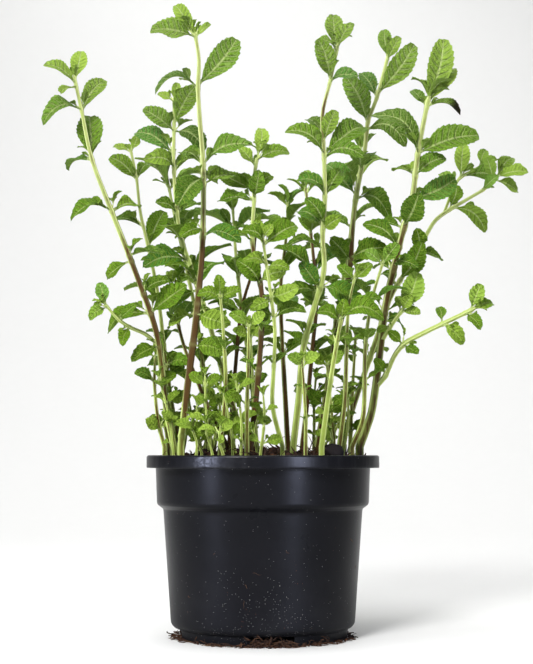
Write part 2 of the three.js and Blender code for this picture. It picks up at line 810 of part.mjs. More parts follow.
// The pairs between the listed leaves, each turned a quarter from the one below
function fillRows(stem, draw) {
  const [first, spacing, length, turn] = stem.fill;
  const route = stem.route;
  const top = route[route.length - 1][1];
  const rows = [];
  const pair = (height, size, azimuth, lift) => {
    for (const half of [0, 180]) {
      const angle = THREE.MathUtils.degToRad(azimuth + half + draw.between(-TURN_STRAY, TURN_STRAY));
      const rise = THREE.MathUtils.degToRad(lift + draw.between(-RISE_STRAY, RISE_STRAY));
      const reach = size * draw.between(...SIZE_STRAY);
      rows.push([
        height + draw.between(-1, 1),
        reach * Math.cos(rise) * Math.cos(angle),
        reach * Math.sin(rise),
        reach * Math.cos(rise) * Math.sin(angle),
        reach * BLADE_RATIO * PAIR_WIDTH,
        draw.between(...PAIR_FACING),
        reach * draw.between(...PAIR_BOW),
      ]);
    }
  };
  let turns = 0;
  for (let height = first; height < top - spacing * LAST_SHARE; height += spacing) {
    const taken = stem.leaves.some((leaf) => Math.abs(leaf[0] - height) < spacing * TAKEN_SHARE);
    const grown = Math.min(FULL_GROWN, LOW_GROWN + (height - LOW_HEIGHT) / GROWN_SPAN);
    const listed = stem.leaves.length > 0 && height > MIXED_HEIGHT;
    const azimuth = listed ? 90 + draw.between(-FRONT_STRAY, FRONT_STRAY) : turn + 90 * turns;
    if (!taken) pair(height, length * grown, azimuth, PAIR_RISE);
    turns += 1;
  }
  if (stem.leaves.length === 0) {
    TIP_PAIRS.forEach(({ below, size, rise }, i) => {
      pair(top - below, length * size, turn + 90 * (turns + i), rise);
    });
  }
  return rows;
}

// A geometry as a solid that can be joined and cut
function toSolid(geometry) {
  const bare = geometry.index ? geometry.clone() : mergeVertices(geometry);
  bare.deleteAttribute("normal");
  bare.deleteAttribute("uv");
  const merged = mergeVertices(bare, 1e-5);
  const index = merged.index.array;
  const triangles = [];
  for (let i = 0; i < index.length; i += 3) {
    const [a, b, c] = [index[i], index[i + 1], index[i + 2]];
    if (a !== b && b !== c && c !== a) triangles.push(a, b, c);
  }
  const solid = new wasm.Manifold(new wasm.Mesh({
    numProp: 3,
    vertProperties: new Float32Array(merged.attributes.position.array),
    triVerts: new Uint32Array(triangles),
  }));
  return solid;
}

function toGeometry(solid) {
  const mesh = solid.getMesh();
  const geometry = new THREE.BufferGeometry();
  geometry.setAttribute("position", new THREE.BufferAttribute(mesh.vertProperties, 3));
  geometry.setIndex(new THREE.BufferAttribute(mesh.triVerts, 1));
  return geometry;
}

function meshFromLists(points, triangles) {
  const geometry = new THREE.BufferGeometry();
  const positions = points.flatMap((point) => [point.x, point.y, point.z]);
  geometry.setAttribute("position", new THREE.Float32BufferAttribute(positions, 3));
  geometry.setIndex(triangles.flat());
  return geometry;
}

// A stem: a square rod along its trace, with a straight stretch in the peat below the first point
function stemSolid(trace, rooted) {
  const span = trace[0].at.distanceTo(trace[trace.length - 1].at);
  const count = Math.max(rooted ? 2 : BRANCH_RINGS, Math.ceil(span / STEM_STEP));
  const points = [];
  const ring = (at, heading, width) => {
    const side = new THREE.Vector3(1, 0, 0).addScaledVector(heading, -heading.x).normalize();
    const front = heading.clone().cross(side);
    for (const [a, b] of [[-1, -1], [1, -1], [1, 1], [-1, 1]]) {
      points.push(at.clone().addScaledVector(side, a * width).addScaledVector(front, b * width));
    }
  };
  const upright = new THREE.Vector3(0, 0, 1);
  const first = trace[0];
  if (rooted) ring(first.at.clone().setZ(ROOT_HEIGHT), upright, first.width);
  for (let i = 0; i <= count; i += 1) {
    const index = Math.round((i / count) * (trace.length - 1));
    const before = trace[Math.max(0, index - 1)].at;
    const after = trace[Math.min(trace.length - 1, index + 1)].at;
    const heading = rooted && i === 0 ? upright : after.clone().sub(before).normalize();
    const at = trace[index].at.clone();
    if (i === count) at.addScaledVector(heading, BUD_LENGTH);
    ring(at, heading, trace[index].width);
  }
  const triangles = [[0, 2, 1], [0, 3, 2]];
  const rings = points.length / 4;
  for (let r = 0; r < rings - 1; r += 1) {
    for (let k = 0; k < 4; k += 1) {
      const a = r * 4 + k;
      const b = r * 4 + ((k + 1) % 4);
      triangles.push([a, b, b + 4], [a, b + 4, a + 4]);
    }
  }
  const end = points.length - 4;
  triangles.push([end, end + 1, end + 2], [end, end + 2, end + 3]);
  return toSolid(meshFromLists(points, triangles));
}

// A leaf: a toothed blade, thickest at the midrib, on a stalk that starts inside the stem
function leafSolid(leaf) {
  const [, teeth] = TEETH_BY_LENGTH.find(([least]) => leaf.length > least);
  const stalkOffset = STALK_WIDTH / 2;
  const outline = [[leaf.stalk, stalkOffset]];
  const onBlade = (share) => leaf.stalk + (1 - leaf.stalk) * share;
  for (let tooth = 0; tooth < teeth; tooth += 1) {
    const share = teeth > 1 ? (tooth + TOOTH_START) / (teeth + TOOTH_END) : WIDEST_POINT;
    const half = leaf.width / 2;
    outline.push([onBlade(share), half * bladeWidth(share)]);
    if (tooth < teeth - 1) {
      const notch = share + NOTCH_STEP / teeth;
      outline.push([onBlade(notch), half * bladeWidth(notch) * NOTCH_DEPTH]);
    }
  }
  const ribPoints = teeth > 2 ? MIDRIB_POINTS : SHORT_MIDRIB_POINTS;
  const midrib = [leaf.stalk, ...ribPoints.map(onBlade)];
  const points = [];
  const add = (share, offset, rise) => {
    points.push(leafPoint(leaf, share, offset).addScaledVector(leaf.up, rise));
    return points.length - 1;
  };
  const right = outline.map(([share, offset]) => ({ share, index: add(share, offset, 0) }));
  const left = outline.map(([share, offset]) => ({ share, index: add(share, -offset, 0) }));
  const root = add(-leaf.rootDepth, 0, 0);
  const tip = { share: 1, index: add(1, 0, 0) };
  const triangles = [];
  for (const face of [1, -1]) {
    const spine = midrib.map((share, i) => {
      const thickness = i === 0 ? STALK_THICKNESS : BLADE_THICKNESS;
      return { share, index: add(share, 0, (face * thickness) / 2) };
    });
    const put = (a, b, c) => triangles.push(face > 0 ? [a, b, c] : [a, c, b]);
    put(spine[0].index, left[0].index, root);
    put(spine[0].index, root, right[0].index);
    for (const [edge, turned] of [[right, 1], [left, -1]]) {
      const inner = [...spine, tip];
      let i = 0;
      let j = 0;
      while (i < inner.length - 1 || j < edge.length - 1) {
        const outerNext = j < edge.length - 1
          && (i === inner.length - 1 || edge[j + 1].share <= inner[i + 1].share);
        const from = inner[i].index;
        const rim = edge[j].index;
        const next = outerNext ? edge[j + 1].index : inner[i + 1].index;
        if (turned > 0) put(from, rim, next);
        else put(from, next, rim);
        if (outerNext) j += 1;
        else i += 1;
      }
    }
  }
  return toSolid(meshFromLists(points, triangles));
}

// Turned solids: the profile is a list of [radius, height] from the axis round to the axis
function turned(profile, sides) {
  const points = profile.map(([radius, height]) => new THREE.Vector2(radius, height));
  const geometry = new THREE.LatheGeometry(points, sides);
  geometry.rotateX(Math.PI / 2);
  return geometry;
}

function makePot() {
  const floorTop = FOOT_HEIGHT + FLOOR;
  const footInside = FOOT_RADIUS - FOOT_WALL;
  let pot = toSolid(turned([
    [0, 0],
    [HUB_RADIUS, 0],
    [HUB_RADIUS + 1.5, FOOT_HEIGHT],
    [footInside - 0.6, FOOT_HEIGHT],
    [footInside, 0],
    [FOOT_RADIUS - 0.6, 0],
    [FOOT_RADIUS, FOOT_HEIGHT],
    [FOOT_RADIUS + 2, FOOT_HEIGHT + 0.8],
    [BODY_FOOT_RADIUS, FOOT_HEIGHT + 3.6],
    [BODY_TOP_RADIUS, STEP_HEIGHT - 2.2],
    [COLLAR_RADIUS - 1, STEP_HEIGHT],
    [COLLAR_RADIUS, POT_HEIGHT - 1.8],
    [RIM_RADIUS - RIM_WALL, POT_HEIGHT - 1.6],
    [RIM_RADIUS - RIM_WALL + 0.3, POT_HEIGHT - RIM_DEPTH],
    [RIM_RADIUS, POT_HEIGHT - RIM_DEPTH],
    [RIM_RADIUS, POT_HEIGHT - 0.8],
    [RIM_RADIUS - 0.8, POT_HEIGHT],
    [COLLAR_RADIUS - 0.4, POT_HEIGHT],
    [COLLAR_RADIUS - WALL, POT_HEIGHT - 1],
    [COLLAR_RADIUS - 1 - WALL, STEP_HEIGHT + 0.6],
    [BODY_TOP_RADIUS - WALL, STEP_HEIGHT - 1.6],
    [BODY_FOOT_RADIUS - WALL, FOOT_HEIGHT + 4.2],
    [FOOT_RADIUS - 0.6, floorTop],
    [HUB_RADIUS + 0.2, floorTop],
    [HUB_RADIUS - 1.2, FLOOR],
    [0, FLOOR],
  ], POT_SIDES));
  for (let i = 0; i < NOTCH_COUNT; i += 1) {
    const notch = new THREE.BoxGeometry(FOOT_WALL * 6, NOTCH_WIDTH, FOOT_HEIGHT * 2 - 0.4);
    notch.translate(FOOT_RADIUS - FOOT_WALL / 2, 0, 0);
    notch.rotateZ(THREE.MathUtils.degToRad(NOTCH_TURN + (i * 360) / NOTCH_COUNT));
    pot = pot.subtract(toSolid(notch));
  }
  for (let i = 0; i < DRAIN_COUNT; i += 1) {
    const drain = new THREE.CylinderGeometry(DRAIN_RADIUS, DRAIN_RADIUS, FLOOR * 4, 6);
    drain.rotateX(Math.PI / 2);
    drain.translate(DRAIN_CIRCLE, 0, FOOT_HEIGHT + FLOOR / 2);
    drain.rotateZ(THREE.MathUtils.degToRad(DRAIN_TURN + (i * 360) / DRAIN_COUNT));
    pot = pot.subtract(toSolid(drain));
  }
  return pot;
}

// How far the peat's uneven top stands above its edge
function peatRise(x, y) {
  const spread = Math.hypot(x, y) / (COLLAR_RADIUS - WALL);
  const lumps = Math.sin(x * 0.21 + 1.3) * Math.cos(y * 0.19) + Math.sin(y * 0.33 - x * 0.12);
  return PEAT_MOUND * (1 - spread * spread) + PEAT_LUMP * lumps * (1 - spread);
}

function makePeat(feet) {
  const bottom = FOOT_HEIGHT + FLOOR + GAP;
  const edge = COLLAR_RADIUS - WALL - GAP - 0.4;
  const geometry = turned([
    [0, FLOOR + GAP],
    [HUB_RADIUS - 1.8, FLOOR + GAP],
    [HUB_RADIUS - 0.4, bottom],
    [FOOT_RADIUS - 1.2, bottom],
    [BODY_FOOT_RADIUS - WALL - GAP - 0.2, bottom + 3],
    [BODY_TOP_RADIUS - WALL - GAP, STEP_HEIGHT - 1.4],
    [COLLAR_RADIUS - 1 - WALL - GAP, STEP_HEIGHT + 0.8],
    ...PEAT_RINGS.map((share) => [edge * share, PEAT_EDGE]),
  ], PEAT_SIDES);
  const position = geometry.attributes.position;
  for (let i = 0; i < position.count; i += 1) {
    if (position.getZ(i) > PEAT_EDGE - 0.01 && Math.hypot(position.getX(i), position.getY(i)) < edge - 1) {
      position.setZ(i, PEAT_EDGE + peatRise(position.getX(i), position.getY(i)));
    }
  }
  let peat = toSolid(geometry);
  for (const { at, width } of feet) {
    const depth = FREE_HEIGHT + 2 - (ROOT_HEIGHT - GAP);
    const hole = new THREE.BoxGeometry(2 * (width + GAP), 2 * (width + GAP), depth);
    hole.translate(at.x, at.y, ROOT_HEIGHT - GAP + depth / 2);
    peat = peat.subtract(toSolid(hole));
  }
  return peat;
}

// Every stem with its side branches, each as a trace and the leaves that have room on it
function growPlants() {
  const plants = STEMS.map((stem, owner) => {
    const trunk = { ...stem, trace: traceRoute(stem.route, stem.foot, stem.tip), rooted: true };
    const branches = (stem.branches ?? []).map((branch) => ({
      ...branch,
      trace: traceRoute(branch.route, stem.tip * BRANCH_SHARE, stem.tip * BRANCH_SHARE * BRANCH_TAPER),
      rooted: false,
    }));
    return { name: stem.name, owner, parts: [trunk, ...branches], leaves: [] };
  });
  for (const { owner, parts } of plants) {
    for (const { trace } of parts) {
      trace.forEach(({ at, width }) => stemCells.add({ at, width, owner }));
    }
  }
  const grow = (plant, part, row) => {
    const step = traceAt(part.trace, row[0]);
    const leaf = bendClear(step, makeLeaf(step, row), plant.owner);
    if (leaf) plant.leaves.push(leaf);
  };
  for (const plant of plants) {
    for (const part of plant.parts) part.leaves.forEach((row) => grow(plant, part, row));
  }
  for (const plant of plants) {
    const [trunk] = plant.parts;
    fillRows(trunk, new Draw(SEED + plant.owner)).forEach((row) => grow(plant, trunk, row));
  }
  return plants;
}

function addMesh(group, name, solid, color, roughness) {
  const material = new THREE.MeshStandardMaterial({ color, roughness, metalness: 0 });
  const mesh = new THREE.Mesh(toGeometry(solid), material);
  mesh.name = name;
  group.add(mesh);
}

function makeModel() {
  const group = new THREE.Group();
  const plants = growPlants();
  addMesh(group, "pot", makePot(), 0x1d1e22, 0.45);
  addMesh(group, "peat", makePeat(plants.map(({ parts }) => parts[0].trace[0])), 0x2a1c14, 0.95);
  for (const { name, parts, leaves } of plants) {
    let solid = stemSolid(parts[0].trace, true);
    for (const { trace } of parts.slice(1)) solid = solid.add(stemSolid(trace, false));
    for (const leaf of leaves) solid = solid.add(leafSolid(leaf));
    addMesh(group, name, solid, 0x4f8f2c, 0.5);
  }
  return group;
}

export default makeModel();
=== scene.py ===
"""A pot of mint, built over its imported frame. Run it as a script in Blender."""
import math
import random
from typing import NamedTuple

import bpy
import numpy as np
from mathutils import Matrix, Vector, noise


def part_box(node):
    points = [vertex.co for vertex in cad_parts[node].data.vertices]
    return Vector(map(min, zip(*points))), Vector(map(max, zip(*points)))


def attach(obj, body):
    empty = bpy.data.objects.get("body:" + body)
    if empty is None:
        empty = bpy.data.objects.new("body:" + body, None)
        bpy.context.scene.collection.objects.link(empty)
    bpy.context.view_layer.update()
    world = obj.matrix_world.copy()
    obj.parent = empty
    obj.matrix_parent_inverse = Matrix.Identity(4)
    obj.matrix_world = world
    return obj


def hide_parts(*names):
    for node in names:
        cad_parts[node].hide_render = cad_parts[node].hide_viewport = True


bl_info = {
    "name": "Pot of mint",
    "version": (1, 0, 0),
    "blender": (4, 5, 0),
    "location": "View3D > Sidebar > Mint",
    "description": "Builds a pot of mint over its measured frame",
    "category": "Add Mesh",
}

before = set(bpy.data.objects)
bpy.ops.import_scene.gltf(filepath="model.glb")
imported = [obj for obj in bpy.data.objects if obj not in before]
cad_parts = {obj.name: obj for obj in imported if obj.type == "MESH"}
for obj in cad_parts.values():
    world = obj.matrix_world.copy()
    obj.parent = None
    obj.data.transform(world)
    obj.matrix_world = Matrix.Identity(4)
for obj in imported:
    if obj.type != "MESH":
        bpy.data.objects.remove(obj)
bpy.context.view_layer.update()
POT_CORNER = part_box("pot")[1]
MM = 0.001

# The eye that the stems' routes are read from, in millimetres and radians
EYE_DISTANCE = 815
EYE_ACROSS = 2
EYE_HEIGHT = 101.5
EYE_TILT = math.radians(4.75)
SIGHT_HEIGHT = EYE_HEIGHT + EYE_DISTANCE * math.tan(EYE_TILT)

# Leaves and the room between them, as in the solids
BLADE_RATIO = 0.44
WIDEST_RATIO = 0.56
FULL_GROWN = 1.18
STALK_LENGTH = 1.6
STALK_ROOT = 0.8
BLADE_SKEW = 1.1
BASE_TAPER = 0.85
TIP_ROUNDING = 0.4
EDGE_ON_WIDTH = 0.55
FOLD = 0.22
WAVE = 0.07
WAVE_TURNS = 9
SEED = 20261
TURN_STRAY = 14
RISE_STRAY = 12
FRONT_STRAY = 28
SIZE_STRAY = (0.85, 1.12)
PAIR_WIDTH = 0.75
PAIR_FACING = (-0.1, 0.4)
PAIR_BOW = (0.06, 0.16)
PAIR_RISE = 30
TIP_PAIRS = ((3, 0.7, 42), (1, 0.5, 62))  # below the tip, size, rise
TAKEN_SHARE = 0.42
LAST_SHARE = 0.4
LOW_GROWN = 0.55
LOW_HEIGHT = 125
GROWN_SPAN = 110
LEAF_CLEARANCE = 3.3
STEM_CLEARANCE = 2.0
OWN_LEAF_CLEARANCE = 2.2
OWN_STEM_CLEARANCE = 0.8
WIDEST_STEM = 2.4
LOWEST_LEAF = 105.5
SAMPLE_STEP = 2.2
MIXED_HEIGHT = 200
ROUTE_STEPS = 10
BRANCH_SHARE = 0.9
BRANCH_TAPER = 0.8
BENDS = [  # across, depth, rise and size, each tried until a leaf has room
    (0, 0, 0, 1), (0, -0.25, 0, 1), (0, 0.25, 0, 1), (0, -0.5, 0, 1), (0, 0.5, 0, 1),
    (0, 0, 0.25, 1), (0, 0, -0.25, 1), (0.2, 0, 0.1, 1), (-0.2, 0, 0.1, 1),
    (0, -0.4, 0.3, 0.9), (0, 0.4, 0.3, 0.9), (0, -0.8, 0, 0.9), (0, 0.8, 0, 0.9),
    (0.4, 0, 0, 0.85), (-0.4, 0, 0, 0.85), (0, 0, 0.6, 0.85), (0, 0, -0.5, 0.85),
    (0, 0, 0, 0.75), (0, -0.4, 0, 0.75), (0, 0.4, 0, 0.75), (0.3, 0.3, 0.3, 0.7),
    (-0.3, -0.3, 0.3, 0.7), (0, 0, 0, 0.6), (0.5, -0.5, 0, 0.6), (-0.5, 0.5, 0, 0.6),
]

# The finer pot and peat of the scene, in millimetres and degrees
CORNER_STEPS = 4
CORNER_SHARE = 0.45
POT_STEPS = 144
FRONT_NOTCH = -84
FIRST_DRAIN = -67
DRAIN_SIDES = 32
PEAT_BASE = 95.6
PEAT_EDGE = 58.1
PEAT_STEPS = 160
PEAT_RINGS = 60
MOUND_RADIUS = 58.8
CLOD_SHAPES = 4
CLOD_REACH = 56
CLOD_SIZES = (0.6, 1.5)
LARGE_CLOD_REACH = 44
LARGE_CLOD_SIZES = (1.4, 2.8)
NOTCH_SPREAD = 9
CRUMB_RING = (44.5, 50.3)
HEAP_RADIUS = 47
LUMP_PLACE = (38, -33, 101.6)
LUMP_SIZE = (6.2, 5.4, 4.6)
LUMP_TURN = (0.1, 0.15, 0)
FIBRE_STEPS = 8
FIBRE_TAPER = (0, 0.8, 1, 1, 1, 0.95, 0.85, 0.6, 0)
FIBRE_REACH = 55
TWIG_REACH = 52
PEAT_INSIDE = 57.5
FRINGE_LIMIT = 53
FRINGE_LOWEST = 0.35
FRINGE_RING = (44, 49.5)
WALL_RADIUS = 52
WALL_FOOT = 51.2
WALL_FOOT_HEIGHT = 9
WALL_GAIN = 4.3
WALL_GAIN_HEIGHT = 62
THREAD_LIFT = 0.12

# The finer stems and leaves of the scene
STEM_SIDES = 12
SQUARENESS = 4.5
RIDGE_DEPTH = 0.06
STEM_FOOT = 91.0
BUD_LENGTH = 1.6
KNOT_RINGS = (-1.8, -0.9, 0, 0.9, 1.8)
KNOT_SWELL = 0.24
# How much browner a stem is painted on its right: painted shade on the side away from the key light
PAINTED_SHADE_SIDE = 0.26
STALK_ROWS = 2
TOOTH_OUT = 1.045
TOOTH_IN = 0.95
TOOTH_FORWARD = 0.45
QUILT_DEPTH = 0.024
PUCKER_DEPTH = 0.011
RIB_SINK = 0.009
RIB_OVER = 0.12
RIB_UNDER = 0.38
CURLS = (0.0, 0.5)
SWAYS = (-0.07, 0.07)
FOLDS = (0, 0.22)
RIPPLES = (0.012, 0.045)
RIPPLE_TURNS = (6, 11)
VEIN_PAIRS = ((26, 8.5), (17, 7.5), (10, 5.5), (0, 4.5))  # least length, pairs of side veins
BLADE_SIZES = (  # least length, rows, columns on each side of the midrib, rows a tooth
    (19, 30, 6, 3), (10, 18, 4, 3), (0, 8, 2, 2),
)
TONES = (-0.6, 0.4)
LITTLE_BLUE = (0, 0.3)
MUCH_BLUE = (0.4, 0.8)
BUD_LEAVES = ((6.5, 0.55), (4.5, 0.35), (3.0, 0.15))  # length, lean
BUD_SIZES = (0.85, 1.15)
BUD_TONES = (0.6, 0.95)
YOUNG_WIDTHS = (0.42, 0.52)
YOUNG_BOWS = (0.02, 0.1)
YOUNG_TONES = (0.25, 0.8)
YOUNG_STALK = 0.14
YOUNG_ROOT = 0.02
SHORTEST_WITH_SHOOT = 9
SHOOT_REACH = (1.2, 5.5)
SHOOT_SIZES = (0.22, 0.42)
SHOOT_ROOM = 0.42
STALK_TAPER = (0, 0.5, 0.45, 0.4, 0)
SPRIG_TRIES = 40
SPRIG_ANGLE = -155
SPRIG_SPREAD = 40
SPRIG_CIRCLE = 54
SPRIG_LIMIT = 55.5
SPRIG_HEIGHTS = (12, 46)
SPRIG_LEANS = (0.0, 0.28)
SPRIG_HALF_WIDTHS = (0.55, 0.95)
SPRIG_STEM_ROOM = 0.7
SPRIG_LEAF_SIZES = (8, 15)
SPRIG_LEAF_RISES = (15, 55)
SPRIG_LEAF_ROOM = 0.6
SPRIG_SPACINGS = (6, 11)
MOST_POINTS = 120000

# The floor and the lights
FLOOR_PLACE = (0, -0.4, 0)
FLOOR_SIZE = (9, 5, 1)
BACK_HEIGHT = 4
BACK_BEND = 1.2
SKY_STRENGTH = 0.18
LIGHTS = (  # name, place, aim, size, share of the main power, whether it shows only as a gloss
    ("overhead", (-0.2, -0.2, 2.0), (0, 0.1, 0.1), (1.1, 0.9), 1.5, False),
    ("key", (-0.6, -1.4, 1.1), (0, 0, 0.18), (0.5, 0.5), 2.3, False),
    ("band_left", (-0.92, -0.65, 0.45), (0, 0, 0.15), (0.26, 0.9), 2.0, True),
    ("band_right", (0.65, -0.92, 0.45), (0, 0, 0.15), (0.22, 0.9), 2.8, True),
    ("backlight", (0.3, 1.5, 1.7), (0, 0.9, 0.6), (1.6, 0.6), 1.0, False),
)


class Fibre(NamedTuple):
    """A kind of fibre: its lengths and half widths, how it bends and how it lifts"""
    lengths: tuple
    widths: tuple
    bends: float
    lift: float


ROOT = Fibre(lengths=(5, 17), widths=(0.14, 0.36), bends=0.28, lift=0)
TWIG = Fibre(lengths=(5, 12), widths=(0.3, 0.8), bends=0.12, lift=0.05)
FRINGE = Fibre(lengths=(4, 11), widths=(0.12, 0.34), bends=0.42, lift=-0.03)
THREAD = Fibre(lengths=(2, 7), widths=(0.06, 0.12), bends=0.35, lift=0)


class Stem(NamedTuple):
    """A leafy stem: half its width at the foot and the tip, its route and the rows of its leaves"""
    name: str
    foot: float
    tip: float
    fill: tuple
    route: list
    leaves: tuple = ()
    branches: tuple = ()
    brown: tuple = ((105, 0.45), (160, 0.3), (230, 0.05))


